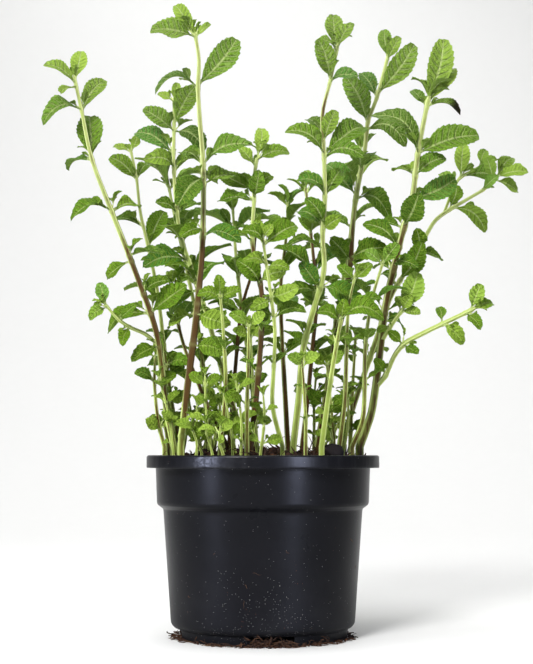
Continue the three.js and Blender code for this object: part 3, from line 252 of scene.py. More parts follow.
# A route is a list of (across, height, depth) as seen from the front. A leaf is (height on the
# stem, across, rise, depth, width, facing, bow), and a tone, a blueness and how withered it is may
# follow. fill is (first height, spacing, leaf length, turn) of the pairs between the leaves. A
# branch is its route and its leaves. brown lists (height, how brown the stem is there).
STEMS = [
    Stem("far_left", foot=2, tip=1, fill=(144, 50, 15, 20), route=[
        (-50, 105, -8), (-54, 125, -10), (-57, 150, -12), (-61, 173, -16), (-74, 209, -24),
        (-85, 237, -31), (-96, 266, -37), (-102, 294, -40), (-106, 312, -40),
    ], leaves=[
        (311, 3, 18, 3, 8, 0.7, 0, 0.8), (309, -17, 12, -3, 8, 0.5, 2, 0.6),
        (307, -9, -3, -10, 6, 0.3, 1, 0.7), (294, 13, 18, 5, 9, 0.8, 1, 0.35),
        (293, -22, -6, -8, 10, 0.5, 6, -0.1, 0.2), (267, -2, 27, 8, 14.5, 1, 1, 0.1, 0.1),
        (265, -14, -3, 10, 8, 0.4, 2), (237, -23, -5, -6, 10, 0.4, 7, -0.3, 0.2),
        (236, 16, 4, 12, 8, 0.5, 2), (212, 19, 1, -12, 10, 0.2, 2, -0.8, 0.2),
        (209, -14, -9, 6, 8, 0.6, 2), (190, 12, 9, -9, 8, 0.6, 2, -0.7, 0.1),
        (180, 20, 16, -8, 11, 0.7, 3, -0.3, 0.1), (179, -26, -8, -8, 10, 0.5, 5, -0.1, 0.1),
        (161, -15, -6, -9, 8, 0.6, 2),
    ], branches=[([
        (-59, 162, -14), (-66, 168, -18), (-75, 172, -25), (-82, 177, -31), (-88, 184, -35),
    ], [
        (184, -4, 13, -3, 7.5, 0.9, 1), (183, -10, -6, -6, 7, 0.7, 1), (172, -4, -9, -8, 6, 0.8, 1),
        (176, 9, 9, -6, 6, 0.7, 1),
    ])], brown=[(105, 0.35), (150, 0.55), (173, 0.7), (205, 0.75), (228, 0.2), (312, 0.05)]),
    Stem("left_slim", foot=1.3, tip=0.9, fill=(162, 24, 20, 60), route=[
        (-47, 105, 16), (-52, 134, 18), (-56, 165, 20), (-59.5, 193, 23), (-65, 219, 27),
        (-69, 237, 30), (-71, 255, 33), (-74, 270, 35),
    ], leaves=[
        (270, -10, 4, 3, 5, 0.5, 1, 0.7), (270, 3, 10, -2, 5, 0.7, 0, 0.7),
        (255, -14, 12, 4, 9, 0.7, 1), (255, 7, 10, 6, 6, 0.7, 1),
        (228, -17, 5, 8, 9, 0.4, 2, -0.7, 0.2), (217, 9, 21, 8, 11, 0.9, 1),
    ]),
    Stem("left_mid", foot=1.7, tip=1, fill=(150, 23, 21, 40), route=[
        (-9, 105, 8), (-18, 131, 12), (-26, 159, 15), (-32.5, 182, 16), (-41, 207, 16), (-47, 227, 16),
        (-50, 259, 17), (-50, 284, 19), (-50, 300, 20),
    ], leaves=[
        (299, -9, 5, -3, 5, 0.6, 1, 0.8), (299, 2, 11, 3, 5, 0.8, 0, 0.8),
        (286, 12, 22, -4, 12.5, 1, 1, 0.35), (282, -17, 13, -8, 10, 0.7, 2),
        (281, 17, -10, -10, 10, 0.5, 4, -0.7, 0.2), (270, -22, 13, 8, 10, 0.8, 2, -0.2, 0.8),
        (261, -16, 5, -10, 9.5, 0.8, 5, 0.5), (260, 13, 9, 10, 8, 0.2, 2),
        (236, -12, 6, -10, 9, 0.6, 2), (235, 12, 5, 14, 9, 0.4, 2),
        (209, -25, -1, -10, 13.5, 0.6, 4, -0.25, 0.8), (206, -7, -10, 6, 8, 0.6, 2, 0.1, 0.2),
    ]),
    Stem("left_tall", foot=2.1, tip=1.1, fill=(144, 52, 17, 75), route=[
        (-46, 105, -19), (-43, 134, -20), (-39, 165, -20), (-36, 193, -20), (-34, 219, -21),
        (-33.5, 260, -23), (-35.5, 288, -25), (-36.5, 306, -26), (-36, 322, -27), (-38, 336, -27),
    ], leaves=[
        (335, -25, 6, -4, 11.5, 0.7, 3, 0.3), (335, -12, 21, 4, 8, 0.9, 1, 0.7),
        (334, 8, 8, -5, 5, 0.6, 1, 0.7), (308, 22, 28, 5, 14.6, 1, 1, 0.15, 0.1),
        (306, -24, 0, -6, 12, 0.3, 7, -0.6, 0.3), (263, -13, 9, 8, 8, 0.5, 1),
        (262, 28, 11, -6, 12, 0.5, 5, -0.1, 0.2), (256, -14, -15, -15, 13.5, 0.9, 3, -0.6, 0.2),
        (254, 20, 5, 12, 10, 0.5, 2), (225, -12, -2, -12, 9, 0.6, 2),
        (223, 21, -1, -9, 12, 0.5, 5, -0.5, 0.7), (194, -22, -11, -10, 12, 0.6, 3, -0.4, 0.2),
        (180, -20, -7, 6, 10, 0.6, 3, 0.6), (186, 22, 5, -2, 9, 0.5, 3, -0.4, 0.1),
        (178, 17, -5, -10, 11.5, 0.9, 2, 0.6), (163, 17, -4, -8, 12.5, 0.95, 1, 0.3, 0.1),
        (112, 13, 6, -9, 9, 0.85, 1, 0.6),
    ], brown=[(105, 0.3), (130, 0.7), (150, 0.9), (212, 0.95), (228, 0.35), (336, 0.1)]),
    Stem("centre", foot=1.8, tip=1, fill=(146, 24, 18, 10), route=[
        (-7, 105, -24), (-4, 131, -22), (-1.5, 160, -19), (-0.5, 187, -16), (-3, 204, -14),
        (-6, 220, -12), (-5, 243, -9), (-5, 256, -7), (-3, 268, -5),
    ], leaves=[
        (268, 2, 17, 2, 8, 0.9, 1, 0.8), (266, 17, 7, -3, 8.5, 0.6, 2, 0.2),
        (262, -9, 12, -3, 6, 0.6, 1), (248, -20, 12, 4, 9, 0.7, 3), (247, 10, 10, 8, 7, 0.7, 1),
        (245, 2, 14, -12, 10, 0.8, 1), (243, -19, 0, -6, 7, 0.5, 2),
        (222, 24, 2, -6, 12, 0.5, 6, -0.6, 0.1), (221, -9, 5, -9, 7, 0.5, 1),
        (198, 13, 6, -8, 10, 0.9, 2, 0.8), (196, -12, 13, -10, 12, 0.9, 3, -0.3, 0.1),
    ], brown=[(105, 0.9), (212, 0.9), (222, 0.1), (268, 0)]),
    Stem("centre_slim", foot=1.3, tip=0.8, fill=(150, 19, 13, 50), route=[
        (11, 105, -38), (5.5, 127, -40), (6, 148, -42), (6.7, 170, -44), (4, 193, -46), (1, 214, -48),
        (0, 222, -49),
    ], leaves=[
        (222, -5, 10, -2, 6, 0.8, 1, 0.8), (222, 6, 8, -4, 6, 0.8, 1, 0.8),
        (218, 18, 13, -4, 13, 0.8, 3, -0.1, 0.1), (218, -14, 9, -3, 9, 0.6, 3, -0.2, 0.1),
        (206, -12, 4, -6, 8, 0.6, 2, 0.6), (205, 11, 2, -8, 8, 0.6, 2, 0.6),
        (188, 14, 6, -8, 11, 0.95, 1, 0.8), (187, -11, -3, -7, 8, 0.7, 2, 0.6),
        (177, 17, 6, -4, 9, 0.5, 2, -0.6, 0.1), (176, -10, 6, -6, 8, 0.6, 2, -0.6, 0.1),
    ], brown=[(105, 0)]),
    Stem("right_mid", foot=1.9, tip=1, fill=(165, 25, 18, 30), route=[
        (17, 105, -22), (20, 131, -22), (22.5, 159, -23), (28.5, 182, -25), (33, 197, -26),
        (34.5, 208, -27), (33.5, 223, -28), (34.8, 243, -30), (34.3, 269, -32), (33.4, 291, -33),
        (38, 311, -34), (42, 330, -34),
    ], leaves=[
        (329, -2, 21, 3, 8, 0.5, 0), (329, 9, 15, -4, 6, 0.6, 1), (326, -12, 6, -5, 7, 0.5, 4),
        (311, -8, 23, -3, 10.5, 0.9, 1, 0.3), (310, 16, 4, -6, 10, 0.6, 4, -0.2, 0.7),
        (281, -8, 10, 8, 7, 0.5, 1, -0.6, 0.1), (277, 7, 18, -4, 8.5, 0.9, 1, 0.5),
        (270, 25, 21, 4, 12, 0.7, 5, -0.2, 0.1), (269, -21, 14, -4, 12, 0.5, 5, 0.1),
        (267, 21, 4, -12, 9, 0.6, 4), (246, -15, 10, -6, 10, 0.5, 4), (245, 9, 16, 6, 9, 0.8, 1),
        (230, -8, 14, -8, 8, 0.7, 2), (228, -14, 10, 6, 8.5, 0.6, 2), (227, 9, 7, -10, 8, 0.9, 1, 0.6),
        (215, -20, 6, -8, 8, 0.3, 3, -0.7, 0.1), (194, 22, -8, -8, 14, 0.7, 6),
        (193, -9, 15, -8, 9, 0.7, 1), (191, -17, -1, -8, 9, 0.5, 2, -0.7, 0.1),
    ], brown=[(105, 0.1), (262, 0.1), (285, 0.5), (296, 0.6), (310, 0.1)]),
    Stem("right_brown", foot=1.4, tip=0.9, fill=(156, 23, 23, 0), route=[
        (22, 105, 6), (25, 131, 6), (28, 162, 7), (30, 184, 8), (29, 205, 9), (26, 232, 10),
        (24, 250, 11),
    ], brown=[(105, 0.9), (220, 0.8), (250, 0.3)]),
    Stem("right_thick", foot=2.2, tip=1.1, fill=(160, 25, 21, 80), route=[
        (31, 105, 2), (37, 140, 3), (41, 165, 4), (46, 186, 6), (49, 209, 8), (50, 224, 9),
        (52, 243, 11), (57, 270, 13), (59, 287, 14), (64, 301, 15), (70, 323, 16),
    ], leaves=[
        (322, -2, 17, 3, 8, 0.9, 0), (321, 7, 15, -3, 6, 0.7, 1), (303, 20, 27, 4, 13.5, 1, 1, 0.35),
        (301, -9, 14, 5, 8, 0.6, 1, -0.2, 0.7), (287, -12, 26, -6, 13.5, 1, 1, 0.2, 0.1),
        (283, 22, -6, -10, 12.5, 0.6, 7, -0.6, 0.1), (281, -12, 4, 13, 9, 0.3, 2),
        (245, -16, 21, 5, 11, 0.7, 2, -0.1, 0.6), (244, 20, -8, -8, 12, 0.6, 9),
        (211, 20, 6, -12, 12.5, 0.8, 3, -0.7, 0.1), (209, -11, 13, -9, 12, 0.95, 2, -0.5, 0.1),
        (125, -9, 10, -8, 7, 0.8, 1, 0.2, 0.2), (124, 13, 8, -6, 8, 0.8, 1, 0.2, 0.2),
    ], brown=[(105, 0.75), (205, 0.75), (235, 0.2), (323, 0.05)]),
    Stem("right_arched", foot=1.6, tip=1.1, fill=(142, 20, 14, 45), route=[
        (33, 105, -36), (38, 142, -40), (42, 166, -44), (44, 177, -46),
    ], leaves=[
        (176, 24, 2, -4, 12, 0.6, 8, -0.1, 0.1), (175, -13, 6, -6, 9, 0.6, 2, -0.2, 0.1),
        (176, 2, 12, -3, 7, 0.8, 1, 0.3),
    ], brown=[(105, 0), (150, 0.1), (180, 0.35), (210, 0.4)]),
    Stem("right_tall", foot=2.4, tip=1.4, fill=(179, 27, 18, 0), route=[
        (54.3, 105, 2), (58.1, 115, 1), (61.6, 127, 0), (65.3, 154, -2), (68.6, 182, -4),
        (72.5, 201, -9), (79, 227, -15), (84, 245, -20), (87, 269, -26), (90.5, 288, -30),
        (93, 300, -32),
    ], leaves=[
        (299, 9, 36, 3, 13.5, 0.95, 1, 0.55), (298, 15, 22, 10, 9, 0.7, 2, 0.8),
        (296, 19, -2, -6, 7, 0.4, 4, 0.1, 0, 1), (296, -8, 10, 6, 6, 0.5, 1),
        (269, 34, 12, -5, 14, 0.7, 5, 0, 0.1), (268, -23, 25, -4, 11, 0.5, 8, -0.6, 0.1),
        (258, 16, 11, -8, 10.5, 0.7, 2), (257, -12, 4, 12, 9, 0.4, 2), (243, 25, 13, 4, 12.5, 0.9, 2),
        (230, 8, 18, -18, 16, 0.9, 2, -0.6, 0.2), (228, -16, 4, 12, 10, 0.4, 2),
        (218, -19, 14, -5, 8.5, 0.7, 3), (205, 12, 2, -14, 10, 0.6, 3), (203, -12, 4, 10, 9, 0.5, 2),
    ], branches=[([
        (64, 139, -1), (69, 145, -5), (74, 156, -11), (80, 163, -16), (91, 169, -24),
        (103.5, 175, -31), (118, 182, -38),
    ], [
        (181, 6, 15, -3, 8, 0.9, 1), (181, 13, 6, 4, 7.5, 0.6, 1), (180, 9, -7, -8, 6, 0.6, 1),
        (174, -2, 10, 3, 6, 0.8, 1), (174, 12, -10, -5, 8, 0.7, 2), (162, -7, 8, -4, 6, 0.7, 1),
        (162, 9, -4, -7, 6, 0.7, 1), (145, -6, 9, -6, 6, 0.8, 1),
    ]), ([
        (66, 163, -2), (72, 173, -8), (78, 181, -12),
    ], [
        (182, 9, 22, -4, 12, 0.9, 1), (181, 7, 10, -3, 7, 0.8, 1), (180, 11, 0, -5, 7, 0.6, 1),
        (180, -1, 10, -6, 7, 0.8, 1), (172, -7, -2, -5, 6, 0.6, 1),
    ])], brown=[(105, 0.4), (150, 0.5), (205, 0.55), (235, 0.4), (250, 0.2), (300, 0.05)]),
    Stem("far_right", foot=1.7, tip=1, fill=(155, 30, 18, 60), route=[
        (44, 105, 26), (52, 131, 26), (62, 160, 26), (71, 187, 26), (77, 198, 26), (84, 209, 27),
        (92, 224, 29), (97, 232, 30), (105, 238, 31), (116, 244.5, 31), (125, 250, 30), (131, 256, 29),
    ], leaves=[
        (256, 18, 4, -4, 8, 0.6, 2), (256, 11, 14, 3, 8, 0.8, 1), (254, -3, 13, -5, 7, 0.8, 1),
        (255, 14, -6, 5, 8, 0.6, 1), (249, 8, 9, -8, 7, 0.7, 1), (238, 3, 13, 6, 8, 0.8, 1),
        (239, 18, -14, -6, 9, 0.6, 5), (215, -1, 12, -12, 11, 0.9, 1), (213, 14, -4, 8, 9, 0.5, 2),
        (198, 12, 21, -10, 12.5, 1, 2, -0.2, 0.1), (195, -8, 8, 10, 8, 0.5, 1),
        (176, 13, -1, 6, 9, 0.5, 2), (175, -10, 2, 10, 9, 0.4, 2),
    ], branches=[([
        (102, 236.5, 31), (106, 247, 36), (110, 255, 41), (116, 259, 44), (124, 263, 46),
    ], [
        (256, 2, 20, -4, 9, 0.9, 1), (257, 19, -2, 5, 9, 0.6, 2), (262, 10, 5, -3, 6, 0.6, 1),
        (262, 4, 10, 3, 6, 0.8, 1), (252, -9, 6, 6, 7, 0.5, 1),
    ])]),
    Stem("low_left", foot=1.3, tip=0.8, fill=(127, 40, 10, 70), route=[
        (-55.3, 105, -1), (-57.6, 113, 0), (-59.6, 124, 0), (-61, 141, -1), (-60.5, 156, -2),
    ], leaves=[
        (155, 3, 11, -3, 6, 0.8, 1), (154, -9, 7, -3, 7, 0.7, 1), (141, -11, 6, -2, 7, 0.7, 2),
        (140, 9, 5, -9, 7, 0.7, 2), (115, 10, 6, -8, 8, 0.8, 1, 0.9), (114, -8, 6, -8, 7, 0.8, 1, 0.9),
    ]),
    Stem("left_leaning", foot=1.5, tip=0.8, fill=(152, 20, 20, 15), route=[
        (-20, 105, -4), (-28, 120, -4), (-37, 142, -2), (-44, 160, 0), (-49, 180, 2), (-51, 196, 2),
    ], brown=[(105, 0.7), (170, 0.6), (196, 0.2)]),
    Stem("front_left", foot=1.4, tip=0.8, fill=(134, 24, 16, 20), route=[
        (-24, 105, -34), (-21, 137, -39), (-22, 165, -44), (-24, 190, -48),
    ], leaves=[
        (188, -12, 4, -6, 9, 0.6, 2, 0.4), (188, 11, 6, -4, 9, 0.6, 2, 0.4),
        (189, -1, 11, -4, 6, 0.9, 1, 0.35),
    ]),
    Stem("reddish", foot=1.3, tip=0.8, fill=(158, 22, 22, 65), route=[
        (-19, 105, 24), (-17, 131, 26), (-13, 176, 28), (-10, 190, 29), (-6, 204, 30), (-4, 226, 32),
    ], brown=[(105, 1.1), (200, 1.1), (226, 0.6)]),
    Stem("front", foot=1.4, tip=0.8, fill=(128, 23, 13, 5), route=[
        (-9, 105, -48), (-9, 125, -53), (-8.4, 150, -60), (-8, 172, -66),
    ], leaves=[
        (171, -10, 8, -4, 8, 0.7, 1), (171, 9, 8, -5, 8, 0.7, 1),
    ]),
    Stem("back_mid", foot=1.6, tip=0.9, fill=(156, 23, 23, 35), route=[
        (14, 105, 30), (12, 142, 34), (10.7, 165, 38), (10, 195, 43), (13, 222, 48), (14, 242, 52),
    ], brown=[(105, 0.7), (200, 0.5), (242, 0.2)]),
    Stem("front_right", foot=1.1, tip=0.7, fill=(120, 16, 11, 60), route=[
        (24, 105, -46), (24, 120, -50), (23, 138, -56), (22, 152, -61),
    ], leaves=[
        (149, 9, 8, -3, 7, 0.7, 1), (149, -8, 7, -5, 7, 0.7, 1),
    ]),
    Stem("right_short", foot=1.5, tip=0.8, fill=(138, 22, 17, 25), route=[
        (43, 105, -22), (46, 131, -27), (47, 159, -32), (48, 182, -37), (52, 202, -42),
    ], leaves=[
        (199, 9, 10, -4, 8, 0.7, 1), (199, -8, 9, -5, 8, 0.7, 1),
    ]),
    Stem("right_low", foot=1.2, tip=0.8, fill=(134, 21, 15, 0), route=[
        (49, 105, 14), (50, 131, 14), (51, 148, 14), (52, 166, 14),
    ], leaves=[
        (165, 9, 6, -5, 7, 0.7, 1), (165, -8, 7, 4, 7, 0.7, 1), (114, -7, 4, -6, 6, 0.8, 1),
        (113, 8, 6, -5, 6, 0.8, 1),
    ]),
    Stem("right_slim", foot=1.5, tip=0.9, fill=(140, 23, 18, 40), route=[
        (50, 105, -12), (55.5, 118, -15), (57, 131, -18), (57.5, 160, -20), (61, 186, -22),
        (67, 207, -24),
    ], leaves=[
        (206, 9, 12, -4, 8, 0.8, 1), (206, -9, 8, -5, 8, 0.7, 1),
    ]),
    Stem("back_left", foot=1.6, tip=0.9, fill=(150, 25, 24, 20), route=[
        (-31, 105, 38), (-33, 140, 43), (-37, 175, 49), (-43, 205, 55), (-50, 236, 61), (-55, 262, 66),
    ]),
    Stem("back", foot=1.7, tip=0.9, fill=(150, 25, 24, 70), route=[
        (-4, 105, 46), (-6, 140, 55), (-11, 175, 64), (-15, 210, 72), (-17, 240, 78),
    ]),
    Stem("back_right", foot=1.7, tip=0.9, fill=(150, 26, 25, 45), route=[
        (31, 105, 38), (36, 140, 45), (41, 175, 52), (47, 210, 59), (52, 245, 66), (55, 274, 71),
    ]),
    Stem("left_inner", foot=1.2, tip=0.8, fill=(131, 40, 11, 30), route=[
        (-53, 105, 7), (-55, 120, 6), (-55, 137, 4), (-53, 152, 2),
    ], leaves=[
        (151, -15, 3, -5, 9, 0.6, 2, 0.3, 0.2), (151, 15, -3, -7, 10, 0.6, 2, 0.2, 0.3),
        (148, 3, 10, -9, 9, 0.9, 1, 0.4, 0.1), (143, 8, 8, -9, 8, 0.7, 1, 0.2, 0.2),
        (117, 9, 4, -9, 9, 0.9, 1, 0.85), (115, -7, 5, -8, 7, 0.8, 1, 0.85),
    ]),
    Stem("centre_thin", foot=1, tip=0.7, fill=(125, 60, 10, 0), route=[
        (-3, 105, -6), (-5, 125, -4), (-6, 150, -2), (-7, 168, 0),
    ], leaves=[
        (167, 13, 5, -6, 7, 0.7, 2, 0.8), (166, -10, 4, -5, 7, 0.7, 1, 0.8),
        (165, 2, 10, -5, 6, 0.8, 1, 0.9), (140, 8, 5, -5, 6, 0.7, 1), (140, -8, 5, 4, 6, 0.7, 1),
    ], brown=[(105, 0.1)]),
    Stem("right_thin", foot=1.1, tip=0.7, fill=(120, 60, 10, 0), route=[
        (40, 105, -8), (38.5, 125, -10), (36, 150, -12),
    ], leaves=[
        (149, 9, 8, -5, 7, 0.7, 1), (149, -9, 6, -5, 7, 0.7, 1), (128, 8, 5, -5, 6, 0.7, 1),
    ]),
]


# Sizes and colours

def length(name, description, default):
    return bpy.props.FloatProperty(
        name=name, description=description, default=default, min=0, unit="LENGTH", precision=4)


def share(name, description, default):
    return bpy.props.FloatProperty(
        name=name, description=description, default=default, min=0, max=1, subtype="FACTOR")


def count(name, description, default):
    return bpy.props.IntProperty(name=name, description=description, default=default, min=0)


def colour(name, description, default):
    return bpy.props.FloatVectorProperty(
        name=name, description=description, default=default, min=0, max=1, size=3, subtype="COLOR")


class PotLook(bpy.types.PropertyGroup):
    """Sizes and colours of the pot"""
    height: length("Height", "Height of the pot", POT_CORNER.z)
    rim_radius: length("Rim radius", "Outside radius of the rim", POT_CORNER.x)
    rim_depth: length("Rim depth", "Depth of the rim's skirt", 0.007)
    collar_radius: length("Collar radius", "Outside radius below the rim", 0.06)
    step_height: length("Step height", "Height of the step below the collar", 0.073)
    body_top: length("Body top", "Outside radius below the step", 0.0555)
    body_foot: length("Body foot", "Outside radius at the bottom edge", 0.0512)
    foot_radius: length("Foot radius", "Outside radius of the foot ring", 0.0474)
    foot_height: length("Foot height", "Height of the foot ring", 0.0054)
    wall: length("Wall", "Thickness of the wall", 0.0012)
    notches: count("Notches", "Number of notches in the foot", 4)
    notch_width: length("Notch width", "Width of the notches in the foot", 0.024)
    notch_depth: length("Notch depth", "How far the notches reach across the ring", 0.0092)
    drains: count("Drain holes", "Number of drain holes", 6)
    drain_radius: length("Drain radius", "Radius of a drain hole", 0.0045)
    drain_circle: length("Drain circle", "Radius of the circle of drain holes", 0.034)
    plastic: colour("Plastic", "Colour of the moulded plastic", (0.0042, 0.0044, 0.0060))
    scuff: colour("Scuff", "Colour of the scuffed rim", (0.035, 0.036, 0.044))
    dust: colour("Dust", "Colour of the dust on it", (0.40, 0.40, 0.39))
    soil: colour("Soil", "Colour of the soil specks on it", (0.20, 0.07, 0.03))


class PeatLook(bpy.types.PropertyGroup):
    """Sizes and colours of the peat and what lies in it"""
    edge: length("Edge", "Height of the peat at the wall", 0.097)
    mound: length("Mound", "Rise of the peat to its middle", 0.005)
    clods: count("Clods", "Number of small clods", 420)
    large_clods: count("Large clods", "Number of large clods", 70)
    crumbs: count("Crumbs", "Number of crumbs at the foot", 300)
    fibres: count("Fibres", "Number of fibres on the peat", 190)
    twigs: count("Twigs", "Number of twigs that stand in the peat", 26)
    fringe: count("Fringe", "Number of roots at the foot", 300)
    threads: count("Threads", "Number of threads on the pot", 8)
    dark: colour("Dark", "Colour of the wet peat", (0.012, 0.0062, 0.0036))
    brown: colour("Brown", "Colour of the dry peat", (0.100, 0.042, 0.019))
    root: colour("Root", "Colour of fibres and roots", (0.15, 0.076, 0.038))
    straw: colour("Straw", "Colour of the palest fibres", (0.50, 0.33, 0.13))
    black: colour("Black", "Colour of the lump's hollows", (0.004, 0.003, 0.002))


class LeafLook(bpy.types.PropertyGroup):
    """Sizes and colours of the stems and leaves"""
    blade: length("Blade", "Thickness of a blade at its edge", 0.00032)
    shoots: share("Shoots", "Share of the leaves with a young shoot at their foot", 0.8)
    sprigs: count("Sprigs", "Number of young sprigs between the stems", 38)
    dark: colour("Dark", "Colour of the oldest leaves", (0.048, 0.118, 0.002))
    green: colour("Green", "Colour of most leaves", (0.160, 0.325, 0.009))
    light: colour("Light", "Colour of the young leaves", (0.380, 0.555, 0.075))
    blue: colour("Blue", "Colour of the bluish leaves", (0.060, 0.290, 0.055))
    under: colour("Underside", "Colour of the undersides", (0.230, 0.380, 0.070))
    net: colour("Net", "Colour of the fine veins", (0.400, 0.590, 0.070))
    vein: colour("Ribs", "Colour of the midribs and stalks", (0.540, 0.670, 0.240))
    dry: colour("Dry", "Colour of the withered tips", (0.020, 0.012, 0.006))
    glow: colour("Glow", "Colour of the light through the leaves", (0.20, 0.38, 0.03))
    stem: colour("Stem", "Colour of the stems low down", (0.580, 0.700, 0.220))
    pale: colour("Pale stem", "Colour of the stems high up", (0.590, 0.650, 0.290))
    # The groove colour is painted shade in the grooves between a stem's ridges
    groove_shade: colour("Groove", "Colour of the grooves between a stem's ridges", (0.250, 0.350, 0.045))
    brown: colour("Brown", "Colour of the brown stems", (0.066, 0.021, 0.007))


class StageLook(bpy.types.PropertyGroup):
    """The floor, the lights and the camera"""
    floor: colour("Floor", "Colour of the floor", (0.80, 0.80, 0.79))
    sky: colour("Sky", "Colour of the light all round", (0.98, 0.99, 1))
    cool: colour("Cool", "Colour of the bands that the plastic mirrors", (0.68, 0.74, 1))
    distance: length("Distance", "Distance of the camera", EYE_DISTANCE * MM)
    height: length("Height", "Height of the camera", EYE_HEIGHT * MM)
    lens: bpy.props.FloatProperty(
        name="Lens", description="Focal length of the camera", default=78.6, subtype="DISTANCE_CAMERA")
    key: bpy.props.FloatProperty(
        name="Key", description="Power of the main light", default=15, unit="POWER")


# Materials

def operator(operation, turned_round=False):
    """A Python operator on values, which adds a Math node"""
    def add_node(value, *others):
        values = (*others, value) if turned_round else (value, *others)
        return value.finish.node("Math", {"operation": operation}, dict(enumerate(values)))
    return add_node


class Value:
    """A node's output, so that maths on it reads as an expression"""
    __add__, __radd__ = operator("ADD"), operator("ADD", True)
    __sub__, __rsub__ = operator("SUBTRACT"), operator("SUBTRACT", True)
    __mul__, __rmul__ = operator("MULTIPLY"), operator("MULTIPLY", True)
    __abs__ = operator("ABSOLUTE")

    def __init__(self, finish, socket):
        self.finish = finish
        self.socket = socket


class Finish:
    """A material's nodes, with one method that adds any node"""

    def __init__(self, name, **constants):
        self.material = bpy.data.materials.new(name)
        self.material.use_nodes = True
        self.tree = self.material.node_tree
        self.principled = self.tree.nodes["Principled BSDF"]
        for socket, value in constants.items():
            self.set(socket.replace("_", " "), value)

    def set(self, socket, value):
        """Sets or links an input of the Principled shader"""
        self.put(self.principled.inputs[socket], value)

    def put(self, socket, value):
        if isinstance(value, Value):
            self.tree.links.new(value.socket, socket)
        elif hasattr(socket.default_value, "__len__") and len(value) < len(socket.default_value):
            socket.default_value = (*value, 1)
        else:
            socket.default_value = value

    def node(self, kind, settings, sockets, output=0):
        made = self.tree.nodes.new("ShaderNode" + kind)
        for name, value in settings.items():
            setattr(made, name, value)
        for name, value in sockets.items():
            self.put(made.inputs[name], value)
        return Value(self, made.outputs[output])

    def attribute(self, name):
        return self.node("Attribute", {"attribute_name": name}, {}, "Fac")

    def places(self):
        return self.node("TexCoord", {}, {}, "Object")

    def scaled(self, vector, factors):
        return self.node("VectorMath", {"operation": "MULTIPLY"}, {0: vector, 1: factors})

    def noise(self, vector, scale, detail, rough):
        sockets = {"Vector": vector, "Scale": scale, "Detail": detail, "Roughness": rough}
        return self.node("TexNoise", {}, sockets)

    def cells(self, vector, scale, output, **settings):
        return self.node("TexVoronoi", settings, {"Vector": vector, "Scale": scale}, output)

    def smooth(self, value, low, high):
        """A soft step from 0 at low to 1 at high"""
        settings = {"interpolation_type": "SMOOTHSTEP"}
        return self.node("MapRange", settings, {"Value": value, "From Min": low, "From Max": high})

    def mix(self, factor, first, second):
        return self.node("Mix", {"data_type": "RGBA"}, {0: factor, 6: first, 7: second}, 2)

    def axis(self, vector, name):
        return self.node("SeparateXYZ", {}, {0: vector}, name)

    def bump(self, height, strength, distance):
        sockets = {"Height": height, "Strength": strength, "Distance": distance}
        self.set("Normal", self.node("Bump", {}, sockets))


def times(shade, factor):
    return [part * factor for part in shade]


# Modelling

def deselect():
    bpy.ops.object.select_all(action="DESELECT")


def added(operator_call, **settings):
    """The object that an operator adds, called with nothing selected"""
    deselect()
    operator_call(**settings)
    return bpy.context.object


def pick(obj, *others):
    """Selects pieces, the first one active"""
    deselect()
    for one in (obj, *others):
        one.select_set(True)
    bpy.context.view_layer.objects.active = obj


def settle(obj):
    """Puts an object's place, turn and size into its mesh"""
    pick(obj)
    bpy.ops.object.transform_apply(location=True, rotation=True, scale=True)


def modify(obj, kind, **settings):
    """Adds a modifier and applies it"""
    pick(obj)
    bpy.ops.object.modifier_add(type=kind)
    modifier = obj.modifiers[-1]
    for name, value in settings.items():
        setattr(modifier, name, value)
    bpy.ops.object.modifier_apply(modifier=modifier.name)


def finish_piece(obj, material=None, nodes=()):
    """Puts a piece at the origin and on its body"""
    settle(obj)
    if material:
        obj.data.materials.clear()
        obj.data.materials.append(material)
    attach(obj, "root")
    if nodes:
        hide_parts(*nodes)


def around(radius, angle):
    """The place at a radius and an angle about the pot's axis"""
    return radius * math.cos(angle), radius * math.sin(angle)


def rounded(profile):
    """The points of a profile of (radius, height, corner) in millimetres, with its corners rounded"""
    points = []
    for i, (radius, height, corner) in enumerate(profile):
        here = Vector((radius, 0, height)) * MM
        if not corner:
            points.append(here)
            continue
        ends = []
        for near in (profile[i - 1], profile[i + 1]):
            way = Vector((near[0], 0, near[1])) * MM - here
            ends.append(here + way.normalized() * min(corner * MM, CORNER_SHARE * way.length))
        for k in range(CORNER_STEPS + 1):
            t = k / CORNER_STEPS
            points.append((1 - t) ** 2 * ends[0] + 2 * t * (1 - t) * here + t * t * ends[1])
    return points


def turned(name, points, steps):
    """A solid turned about the pot's axis from a profile, drawn out point by point and spun"""
    obj = added(bpy.ops.mesh.primitive_plane_add, size=MM, location=points[0])
    obj.name = obj.data.name = name
    bpy.ops.object.mode_set(mode="EDIT")
    bpy.ops.mesh.merge(type="CENTER")
    for here, after in zip(points, points[1:]):
        bpy.ops.mesh.extrude_region_move(TRANSFORM_OT_translate={"value": after - here})
    bpy.ops.mesh.select_all(action="SELECT")
    bpy.ops.mesh.spin(steps=steps, angle=2 * math.pi, center=(0, 0, 0), axis=(0, 0, 1))
    bpy.ops.mesh.select_all(action="SELECT")
    bpy.ops.mesh.remove_doubles(threshold=1e-6)
    bpy.ops.mesh.normals_make_consistent(inside=False)
    bpy.ops.object.mode_set(mode="OBJECT")
    settle(obj)
    return obj


def cut(obj, cutter):
    """Cuts one solid out of another and removes the cutter"""
    modify(obj, "BOOLEAN", operation="DIFFERENCE", solver="EXACT", object=cutter)
    bpy.data.objects.remove(cutter)


def points_of(obj):
    places = np.empty(len(obj.data.vertices) * 3)
    obj.data.vertices.foreach_get("co", places)
    return places.reshape(-1, 3)


def set_points(obj, points):
    obj.data.vertices.foreach_set("co", np.ascontiguousarray(points, dtype=np.float32).ravel())
    obj.data.update()


